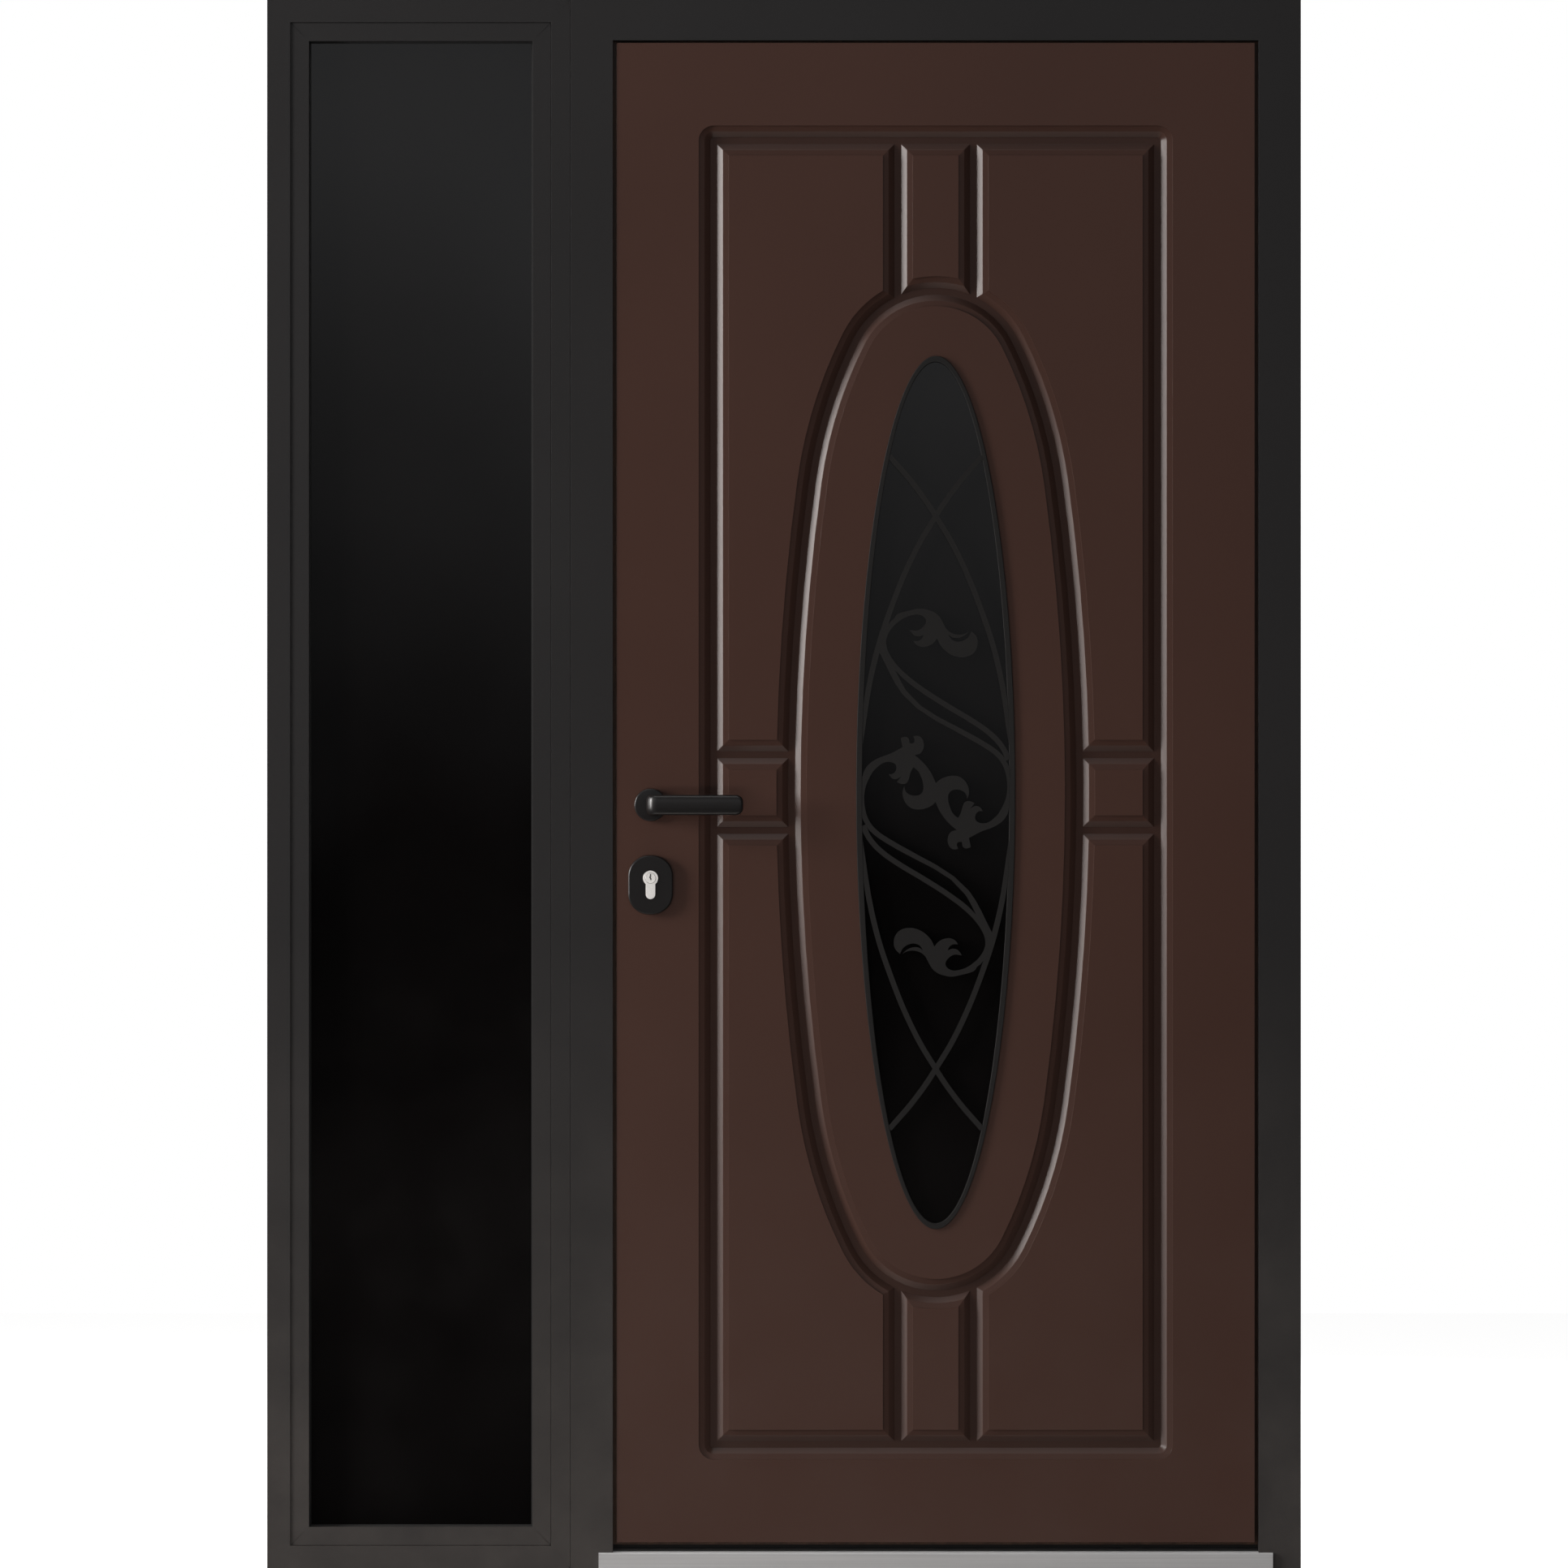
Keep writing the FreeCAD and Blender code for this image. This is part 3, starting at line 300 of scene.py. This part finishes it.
FINISHES = {
    "frame_coat": coated("frame_coat", (0.0155, 0.0148, 0.015, 1), gloss=(0.42, 0.55),
                         speck=0.16, peel=0.22, shine=0.25, dust=0.4),
    "leaf_coat": coated("leaf_coat", (0.05, 0.0235, 0.0172, 1), gloss=(0.3, 0.37),
                        speck=0.07, peel=0.1, shine=0.24, dust=0.12, groove_shade=0.65),
    "grille_coat": coated("grille_coat", (0.0135, 0.013, 0.0128, 1), gloss=(0.52, 0.66),
                          speck=0.12, peel=0.2, shine=0.14),
    "fitting_coat": coated("fitting_coat", (0.008, 0.0072, 0.0072, 1), gloss=(0.26, 0.36),
                           speck=0.1, peel=0.14, shine=0.4),
    "tinted_glass": tinted_glass(),
    "seal_rubber": matt("seal_rubber", (0.014, 0.014, 0.014, 1), (0.006, 0.006, 0.006, 1),
                        scale=60.0, roughness=0.7, depth=0.2),
    "strip_plastic": matt("strip_plastic", (0.035, 0.035, 0.035, 1), (0.02, 0.02, 0.02, 1),
                          scale=80.0, roughness=0.55, depth=0.2),
    "core_foam": matt("core_foam", (0.72, 0.68, 0.55, 1), (0.55, 0.5, 0.38, 1),
                      scale=300.0, roughness=0.9, depth=0.8),
    "stile_wood": lacquered_wood(),
    "sill_metal": metal("sill_metal", (0.665, 0.668, 0.675, 1), grain=(3.0, 500.0, 500.0),
                        streak=0.08, gloss=(0.3, 0.45), relief=0.1, metallic=0.6),
    "spacer_metal": metal("spacer_metal", (0.4, 0.4, 0.41, 1), grain=(200.0, 200.0, 20.0),
                          streak=0.1, gloss=(0.35, 0.5), relief=0.1),
    "lock_steel": metal("lock_steel", (0.5, 0.5, 0.51, 1), grain=(400.0, 400.0, 8.0),
                        streak=0.15, gloss=(0.25, 0.4), relief=0.15),
    "bolt_steel": metal("bolt_steel", (0.45, 0.45, 0.46, 1), grain=(300.0, 300.0, 40.0),
                        streak=0.1, gloss=(0.2, 0.35), relief=0.1),
    "cylinder_metal": metal("cylinder_metal", (0.84, 0.83, 0.81, 1), grain=(500.0, 30.0, 500.0),
                            streak=0.06, gloss=(0.3, 0.45), relief=0.06, metallic=0.35),
}


# Pieces
def linked(name, data):
    """Adds an object to the scene."""
    thing = bpy.data.objects.new(name, data)
    bpy.context.scene.collection.objects.link(thing)
    return thing


def show(name, mesh, body, slot, stands_for=()):
    """Puts a mesh into the scene as a piece that rides on a body."""
    piece = linked(name, mesh)
    mesh.materials.clear()
    mesh.materials.append(FINISHES[slot])
    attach(piece, body)
    for node in stands_for:
        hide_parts(node)
    return piece


def mesh_of(shape, name):
    """Turns a finished bmesh into a mesh."""
    mesh = bpy.data.meshes.new(name)
    shape.to_mesh(mesh)
    shape.free()
    return mesh


def slot_of(node):
    return nodes[node].data.materials[0].name.split(".")[0]


def middle(node):
    low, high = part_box(node)
    return (low + high) / 2


def whole_faces(node):
    """The mesh of a CAD node with its triangles joined into whole faces."""
    shape = bmesh.new()
    shape.from_mesh(nodes[node].data)
    bmesh.ops.remove_doubles(shape, verts=shape.verts, dist=TOUCH)
    bmesh.ops.dissolve_limit(shape, angle_limit=math.radians(0.4), verts=shape.verts,
                             edges=shape.edges)
    return shape


def refined(node, width, segments=2, crease=9.0, rounded=lambda edge: 1.0, changes=()):
    """Shows a CAD node with smooth curved walls and rounded edges.

    Edges sharper than crease are rounded by the share of the width that rounded gives for them;
    changes are functions that are run on the shape first.
    """
    shape = whole_faces(node)
    for change in changes:
        change(shape)
    weight = shape.edges.layers.float.new("bevel_weight_edge")
    for face in shape.faces:
        face.smooth = True
    for edge in shape.edges:
        sharp = len(edge.link_faces) != 2 or edge.calc_face_angle(0.0) > math.radians(crease)
        edge.smooth = not sharp
        if sharp:
            edge[weight] = rounded(edge)
    mesh = mesh_of(shape, node + "_shown")
    if "custom_normal" in mesh.attributes:
        mesh.attributes.remove(mesh.attributes["custom_normal"])
    piece = show(node + "_shown", mesh, nodes[node]["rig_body"], slot_of(node), [node])
    bevel = piece.modifiers.new("rounded_edges", "BEVEL")
    bevel.limit_method = "WEIGHT"
    bevel.width = width
    bevel.segments = segments
    bevel.use_clamp_overlap = True
    bevel.harden_normals = True


def along(axis):
    """A test for edges that run along one axis."""
    def test(edge):
        line = (edge.verts[1].co - edge.verts[0].co).normalized()
        return float(abs(line[axis]) > 0.999)
    return test


# Frame and sidelight
def parted(axis, side):
    """Opens a fine joint at one side of a bar: its front edge draws back, its rear edge stays."""
    def change(shape):
        reach = max(side * vert.co[axis] for vert in shape.verts)
        front = min(vert.co.y for vert in shape.verts)
        for vert in shape.verts:
            if side * vert.co[axis] > reach - TOUCH and vert.co.y < front + TOUCH:
                vert.co[axis] -= side * JOINT
    return change


JOINTS = {
    "sidelight_bead_left": [parted(0, -1)], "sidelight_bead_right": [parted(0, 1)],
    "sidelight_bead_top": [parted(2, 1)], "sidelight_bead_bottom": [parted(2, -1)],
    "sidelight_stile_right": [parted(0, 1)],
}
UPRIGHT_BARS = ("jamb_left", "jamb_right", "sidelight_stile_left", "sidelight_stile_right",
                "sidelight_bead_left", "sidelight_bead_right")
LEVEL_BARS = ("head", "sidelight_rail_top", "sidelight_rail_bottom", "sidelight_bead_top",
              "sidelight_bead_bottom", "threshold", "threshold_strip")
for axis, bars in ((2, UPRIGHT_BARS), (0, LEVEL_BARS)):
    for node in bars:
        refined(node, 0.2 * MM, rounded=along(axis), changes=JOINTS.get(node, ()))


# Leaf, lock and hinges
def crisp_lips(node, share=0.2):
    """A test that keeps the lips of the grooves nearly sharp and rounds the rest in full."""
    low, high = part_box(node)

    def test(edge):
        inner = all(vert.co.y < LEAF_FACE + LIP_DEEP and low.x + RIM < vert.co.x < high.x - RIM
                    and low.z + RIM < vert.co.z < high.z - RIM for vert in edge.verts)
        return share if inner else 1.0
    return test


refined("outer_panel", 0.4 * MM, rounded=crisp_lips("outer_panel"))
refined("inner_panel", 0.7 * MM)
for node in ("grille_ring", "inner_trim_ring"):
    refined(node, 0.8 * MM)
refined("escutcheons", 0.7 * MM, segments=3)
for node in ("lock_cylinder", "key_plug", "faceplate", "strike_plate", "latch_and_bolt"):
    refined(node, 0.25 * MM)
for node in ("hinge_frame_halves", "hinge_leaf_halves", "hinge_pins"):
    refined(node, 0.6 * MM)
for node in ("lock_stile", "hinge_stile"):
    refined(node, 1.0 * MM, rounded=along(2))
for node in ("door_pane_outer", "door_pane_inner", "door_spacer"):
    refined(node, 0.3 * MM, segments=1)


# Scrolls of the grille
def run_out(shape):
    """Draws the blunt ends of the crossed bars out to a point along the ring."""
    centre = middle("grille_scrolls")
    blunt, drawn_out = Vector((94.5, 83.5)) * MM, Vector((97.7, 64.0)) * MM
    for vert in shape.verts:
        x, z = vert.co.x - centre.x, vert.co.z - centre.z
        if (Vector((abs(x), abs(z))) - blunt).length < 1.5 * MM:
            vert.co.x = centre.x + math.copysign(drawn_out.x, x)
            vert.co.z = centre.z + math.copysign(drawn_out.y, z)


def faces_front(face):
    return face.normal.y < -0.9


def is_wall(face):
    return abs(face.normal.y) < 0.1


def ease(shape, corner=50.0, cuts=3):
    """Bends the straight facets round a flat plate into curves; corners above a limit stay."""
    ahead = {}
    for face in filter(faces_front, shape.faces):
        for loop in face.loops:
            if not all(map(faces_front, loop.edge.link_faces)):
                ahead[loop.vert] = loop.link_loop_next.vert
    behind = {after: before for before, after in ahead.items()}
    goals, flat = [], KDTree(len(ahead) * cuts)
    for start, end in ahead.items():
        spans = [start.co - behind[start].co, end.co - start.co, ahead[end].co - end.co]
        pulls = []
        for one, two in zip(spans, spans[1:]):
            even = (one.normalized() * two.length + two.normalized() * one.length).normalized()
            smooth = one.angle(two) < math.radians(corner)
            pulls.append((even * spans[1].length if smooth else spans[1]) / 3)
        line = interpolate_bezier(start.co, start.co + pulls[0], end.co - pulls[1], end.co,
                                  cuts + 2)
        for step in range(1, cuts + 1):
            place = start.co.lerp(end.co, step / (cuts + 1))
            flat.insert((place.x, 0.0, place.z), len(goals))
            goals.append(line[step])
    flat.balance()
    rims = [edge for edge in shape.edges if any(map(is_wall, edge.link_faces))
            and abs(edge.verts[0].co.y - edge.verts[1].co.y) < TOUCH]
    made = bmesh.ops.subdivide_edges(shape, edges=rims, cuts=cuts)
    for vert in {part for part in made["geom_inner"] if isinstance(part, bmesh.types.BMVert)}:
        _, index, distance = flat.find((vert.co.x, 0.0, vert.co.z))
        if distance < TOUCH:
            vert.co.x, vert.co.z = goals[index].x, goals[index].z


refined("grille_scrolls", 0.3 * MM, crease=30.0, changes=[run_out, ease])


# Levers and roses
def walled(shape, pairs):
    """Joins pairs of rings that have as many corners each."""
    for one, two in pairs:
        for i in range(len(one)):
            j = (i + 1) % len(one)
            shape.faces.new((one[i], one[j], two[j], two[i]))


def smoothed(shape, name, crease=40.0):
    """Finishes a shape that was built here and turns it into a mesh."""
    bmesh.ops.recalc_face_normals(shape, faces=shape.faces)
    for face in shape.faces:
        face.smooth = True
    for edge in shape.edges:
        edge.smooth = edge.calc_face_angle(0.0) < math.radians(crease)
    return mesh_of(shape, name)


def crowned_section(half_thick, half_tall, squareness=2.7, steps=32):
    """A bar section between an oval and a rectangle, as (across, up) pairs."""
    def swell(part):
        return math.copysign(abs(part) ** (2 / squareness), part)

    turns = [2 * math.pi * step / steps for step in range(steps)]
    return [(half_thick * swell(math.cos(turn)), half_tall * swell(math.sin(turn)))
            for turn in turns]


def lever(name, face, away):
    """A flat bar bent over from its neck, with rounded edges and a rounded end."""
    thick, tall, heel = 13.0 * MM, 27.0 * MM, 5.5 * MM
    bend, neck, front, end = 8.5 * MM, 8.5 * MM, 45.5 * MM, 124.0 * MM
    tip, tip_edge, tip_thinned = 9.5 * MM, 4.0 * MM, 0.9
    steps, quarter = 12, math.radians(90)
    start, bar = LEVER_X - heel + thick / 2, front - thick / 2
    # Each station: place along, place outwards, turn of the section, way into the rounded tip
    stations = [(start, neck, 0.0, 0.0), (start, bar - bend, 0.0, 0.0)]
    for step in range(1, steps + 1):
        angle = quarter * step / steps
        stations.append((start + bend * (1 - math.cos(angle)),
                         bar - bend + bend * math.sin(angle), angle, 0.0))
    for step in range(steps + 1):
        left = tip * (1 - math.sin(quarter * step / steps))
        stations.append((LEVER_X + end - left, bar, quarter, tip - left))
    shape = bmesh.new()
    rings = []
    for x, out, angle, passed in stations:
        lost_tall = tip - math.sqrt(max(tip ** 2 - passed ** 2, 0.0))
        near = max(passed - (tip - tip_edge), 0.0)
        lost_thick = tip_edge - math.sqrt(max(tip_edge ** 2 - near ** 2, 0.0))
        section = crowned_section(thick / 2 - lost_thick * tip_thinned, tall / 2 - lost_tall)
        rings.append([shape.verts.new((x + across * math.cos(angle),
                                       face + away * (out - across * math.sin(angle)),
                                       LEVER_Z + up)) for across, up in section])
    walled(shape, zip(rings, rings[1:]))
    shape.faces.new(rings[0])
    shape.faces.new(rings[-1])
    show(name + "_bar", smoothed(shape, name + "_bar"), "handle", "fitting_coat", [name])


def roses():
    """Two turned discs with a rounded rim, one on each face, with a hole for the spindle."""
    radius, thick, rim, hole = 21.8 * MM, 8.0 * MM, 2.2 * MM, 5.2 * MM
    turns, rim_steps = 96, 6
    outline = [(hole, 0.0), (radius, 0.0)]
    for step in range(rim_steps + 1):
        angle = math.radians(90 * step / rim_steps)
        outline.append((radius - rim + rim * math.cos(angle), thick - rim + rim * math.sin(angle)))
    outline.append((hole, thick))
    shape = bmesh.new()
    for face, away in ((LEAF_FACE, -1), (INNER_FACE, 1)):
        rings = []
        for step in range(turns):
            turn = 2 * math.pi * step / turns
            rings.append([shape.verts.new((LEVER_X + r * math.cos(turn), face + away * out,
                                           LEVER_Z + r * math.sin(turn))) for r, out in outline])
        walled(shape, zip(rings, rings[1:] + rings[:1]))
    show("turned_roses", smoothed(shape, "turned_roses"), "leaf", "fitting_coat", ["lever_roses"])


roses()
lever("lever_outer", LEAF_FACE, -1)
lever("lever_inner", INNER_FACE, 1)


# What repeats: screws and threshold ribs
def block(tree, width, depth, height):
    size = put(tree, "ShaderNodeCombineXYZ", {0: width, 1: depth, 2: height}).outputs[0]
    return put(tree, "GeometryNodeMeshCube", {"Size": size}).outputs[0]


def spread(tree, out, inp, instance, **values):
    """Ends a geometry tree: one copy at each place, made real and given its finish."""
    copies = put(tree, "GeometryNodeInstanceOnPoints",
                 {"Points": inp["Places"], "Instance": instance, **values})
    real = put(tree, "GeometryNodeRealizeInstances", {0: copies.outputs[0]})
    made = put(tree, "GeometryNodeSetMaterial", {"Geometry": real.outputs[0],
                                                 "Material": inp["Finish"]})
    feed(tree, out, {"Geometry": made.outputs[0]})


def screw_heads():
    """Low round heads with a cross recess, one at each vertex, turned to its facing."""
    tree, inp, out = new_tree("screw_heads", "GeometryNodeTree", [
        ("Places", "Geometry", None), ("Radius", "Float", 4.0 * MM), ("Height", "Float", 0.8 * MM),
        ("Recess", "Float", 2.2 * MM), ("Finish", "Material", None)], [("Geometry", "Geometry")])
    disc = put(tree, "GeometryNodeMeshCylinder", {"Vertices": 24, "Radius": inp["Radius"],
                                                  "Depth": inp["Height"]}).outputs["Mesh"]
    head = put(tree, "GeometryNodeMeshBoolean", {"Mesh 1": disc}, operation="DIFFERENCE",
               solver="EXACT")
    slit, lift = 0.7 * MM, (0, 0, 0.4 * MM)
    for width, depth in ((inp["Recess"], slit), (slit, inp["Recess"])):
        arm = block(tree, width, depth, inp["Height"])
        raised = put(tree, "GeometryNodeTransform", {"Geometry": arm, "Translation": lift})
        feed(tree, head, {"Mesh 2": raised.outputs[0]})
    facing = put(tree, "GeometryNodeInputNamedAttribute", {"Name": "facing"},
                 data_type="FLOAT_VECTOR").outputs[0]
    turn = put(tree, "FunctionNodeAlignRotationToVector", {"Vector": facing}, axis="Z").outputs[0]
    spread(tree, out, inp, head.outputs["Mesh"], Rotation=turn)
    return tree


def ribs():
    """Low bars that run along the threshold, one at each vertex."""
    tree, inp, out = new_tree("tread_ribs", "GeometryNodeTree", [
        ("Places", "Geometry", None), ("Length", "Float", 0.9), ("Width", "Float", 2.0 * MM),
        ("Height", "Float", 0.8 * MM), ("Finish", "Material", None)], [("Geometry", "Geometry")])
    spread(tree, out, inp, block(tree, inp["Length"], inp["Width"], inp["Height"]))
    return tree


def grown(name, places, tree, settings, body, slot, facing=None):
    """Runs a geometry tree on a set of places and keeps its result as a plain mesh."""
    settings = {**settings, "Finish": FINISHES[slot]}
    seeds = bpy.data.meshes.new(name + "_places")
    seeds.from_pydata(places, [], [])
    if facing:
        layer = seeds.attributes.new("facing", "FLOAT_VECTOR", "POINT")
        layer.data.foreach_set("vector", facing * len(places))
    carrier = linked(name + "_carrier", seeds)
    modifier = carrier.modifiers.new(name, "NODES")
    modifier.node_group = tree
    for item in tree.interface.items_tree:
        if item.item_type == "SOCKET" and item.in_out == "INPUT" and item.name in settings:
            modifier[item.identifier] = settings[item.name]
    graph = bpy.context.evaluated_depsgraph_get()
    mesh = bpy.data.meshes.new_from_object(carrier.evaluated_get(graph))
    bpy.data.objects.remove(carrier)
    show(name, mesh, body, slot)


SCREWS = screw_heads()
PROUD = 0.2 * MM  # how far the middle of a screw's head stands off its plate


def plate_screws(name, node, side, body, end=12.0 * MM):
    """A screw near each end of an upright plate, on its left (-1) or right (1) face."""
    low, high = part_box(node)
    x = (high if side > 0 else low).x + side * PROUD
    places = [(x, 0.0, low.z + end), (x, 0.0, high.z - end)]
    grown(name, places, SCREWS, {"Radius": 3.8 * MM}, body, "bolt_steel", (side, 0, 0))


def wing_screws(name, node, side, body):
    """Three screws on each hinge wing: at the right and below (1), or left and above (-1)."""
    low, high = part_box(node)
    outer = (high if side > 0 else low).x
    places = [(outer - side * inset * MM, INNER_FACE + WING_THICK + PROUD,
               level - side * step * MM)
              for level in HINGE_LEVELS for step, inset in ((10, 10), (24, 20), (38, 10))]
    grown(name, places, SCREWS, {"Radius": 3.6 * MM}, body, "bolt_steel", (0, 1, 0))


def escutcheon_screws(apart=62.0 * MM):
    """A screw above and one below the cylinder, on the inner escutcheon."""
    y, z = INNER_FACE + ESCUTCHEON_THICK + PROUD, middle("escutcheons").z
    places = [(LEVER_X, y, z + side * apart / 2) for side in (-1, 1)]
    grown("escutcheon_screws", places, SCREWS, {"Radius": 3.0 * MM}, "leaf", "bolt_steel",
          (0, 1, 0))


def tread_ribs(count=5, border=8.0 * MM, pitch=4.5 * MM, lift=0.3 * MM, shorter=12.0 * MM):
    """Ribs on the threshold, from near its front edge inwards."""
    low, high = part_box("threshold")
    places = [(middle("threshold").x, low.y + border + pitch * i, high.z + lift)
              for i in range(count)]
    grown("tread_ribs", places, ribs(), {"Length": high.x - low.x - shorter}, "frame",
          "sill_metal")


plate_screws("faceplate_screws", "faceplate", -1, "leaf")
plate_screws("strike_screws", "strike_plate", 1, "frame")
wing_screws("frame_wing_screws", "hinge_frame_halves", 1, "frame")
wing_screws("leaf_wing_screws", "hinge_leaf_halves", -1, "leaf")
escutcheon_screws()
tread_ribs()

# Finishes of the nodes that stay as they are
for node, piece in nodes.items():
    for slot in piece.material_slots:
        slot.material = FINISHES[slot_of(node)]


# Studio
def lamp(name, place, target, size, power, colour=WHITE, in_gloss=True):
    """A flat rectangular lamp that looks at a place."""
    light = bpy.data.lights.new(name, "AREA")
    light.shape = "RECTANGLE"
    light.size, light.size_y = size
    light.energy = power
    light.color = colour
    thing = linked(name, light)
    thing.location = place
    thing.rotation_mode = "QUATERNION"
    thing.rotation_quaternion = (Vector(target) - Vector(place)).to_track_quat("-Z", "Y")
    thing.visible_glossy = in_gloss


def lamps():
    """A strong strip from the left lights the slopes of the relief; the rest are soft fills."""
    lamp("key_light", (-2.4, -3.8, 3.0), (0.1, 0, 1.1), (1.6, 1.6), 8.0)
    lamp("left_strip", (-6.2, -1.8, 2.4), (0.2, 0, 1.1), (1.5, 3.0), 640.0, (1.0, 0.97, 0.95))
    lamp("top_strip", (-0.6, -1.5, 4.4), (0.0, 0, 1.2), (3.0, 1.0), 22.0)
    lamp("ground_glow", (-0.6, -1.5, -2.4), (0.0, 0, 0.8), (3.0, 1.0), 18.0, WARM)
    lamp("low_fill", (-0.8, -2.8, 0.3), (0.1, 0, 0.2), (2.4, 0.5), 24.0, WARM, in_gloss=False)
    lamp("back_light", (1.6, 4.2, 2.6), (0, 0, 1.0), (2.4, 2.4), 150.0)


def sheet(name, corners, material):
    """One flat face of the studio."""
    mesh = bpy.data.meshes.new(name)
    mesh.from_pydata(corners, [], [(0, 1, 2, 3)])
    mesh.materials.append(material)
    return linked(name, mesh)


def studio_world():
    """White to the camera and through the glass, dim as light and in gloss."""
    world = bpy.data.worlds.new("studio")
    bpy.context.scene.world = world
    world.use_nodes = True
    tree = world.node_tree
    tree.nodes.clear()
    in_light, in_gloss = 0.09, 0.07
    path = put(tree, "ShaderNodeLightPath").outputs
    seen = math_node(tree, "MAXIMUM", path["Is Camera Ray"], path["Is Transmission Ray"])
    level = blend(tree, path["Is Glossy Ray"], in_light, in_gloss)
    dim, white = [put(tree, "ShaderNodeBackground", {"Color": (1, 1, 1, 1), "Strength": strength})
                  for strength in (level, 1.0)]
    both = put(tree, "ShaderNodeMixShader", {0: seen, 1: dim.outputs[0], 2: white.outputs[0]})
    put(tree, "ShaderNodeOutputWorld", {0: both.outputs[0]})


def floor():
    """Pale floor, white to the camera but for the shadow; the lamp below shines through it."""
    made, tree, shader, place = new_material("floor_paper")
    seen = put(tree, "ShaderNodeLightPath").outputs["Is Camera Ray"]
    feed(tree, shader, {"Base Color": (0.55, 0.55, 0.55, 1), "Roughness": 0.8,
                        "Specular IOR Level": 0.2, "Emission Color": (1, 1, 1, 1),
                        "Emission Strength": math_node(tree, "MULTIPLY", seen, 0.88)})
    half, front, back = 6, -1.6, 7
    thing = sheet("floor", ((-half, front, 0), (half, front, 0), (half, back, 0),
                            (-half, back, 0)), made)
    thing.location.z = -0.5 * MM
    thing.visible_glossy = thing.visible_shadow = False


def sky_card():
    """A dim card far in front, seen only in gloss, that grades the glass from grey to black."""
    made = bpy.data.materials.new("sky_card")
    made.use_nodes = True
    tree = made.node_tree
    tree.nodes.clear()
    place = put(tree, "ShaderNodeTexCoord").outputs["Object"]
    cloud = math_node(tree, "MULTIPLY", noise(tree, place, 0.7, 3.0), 1.6)
    tilt = math_node(tree, "MULTIPLY", axis_of(tree, place, 0), 0.1)
    height = math_node(tree, "ADD", math_node(tree, "ADD", axis_of(tree, place, 2), cloud), tilt)
    glow = put(tree, "ShaderNodeEmission", {
        "Color": (0.97, 0.98, 1, 1), "Strength": remap(tree, height, 1.65, 3.2, 0.008, 0.47)})
    put(tree, "ShaderNodeOutputMaterial", {0: glow.outputs[0]})
    half, y, low, high = 7, -9.0, -2.5, 5.5
    card = sheet("sky_card", ((-half, y, high), (half, y, high), (half, y, low),
                              (-half, y, low)), made)
    card.visible_camera = card.visible_diffuse = False
    card.visible_shadow = card.visible_transmission = False


def studio_camera(distance=14.568):
    """A long lens straight in front, level with the middle of the frame."""
    camera = bpy.data.cameras.new("camera")
    camera.lens = 250.0
    camera.sensor_width = 36.0
    camera.clip_end = 100.0
    viewer = linked("camera", camera)
    viewer.location = (0.0, FRAME_FACE - distance, FRAME_HEIGHT / 2)
    viewer.rotation_euler = (math.radians(90), 0, 0)
    bpy.context.scene.camera = viewer


lamps()
studio_world()
floor()
sky_card()
studio_camera()
bpy.context.scene.view_settings.view_transform = "Standard"
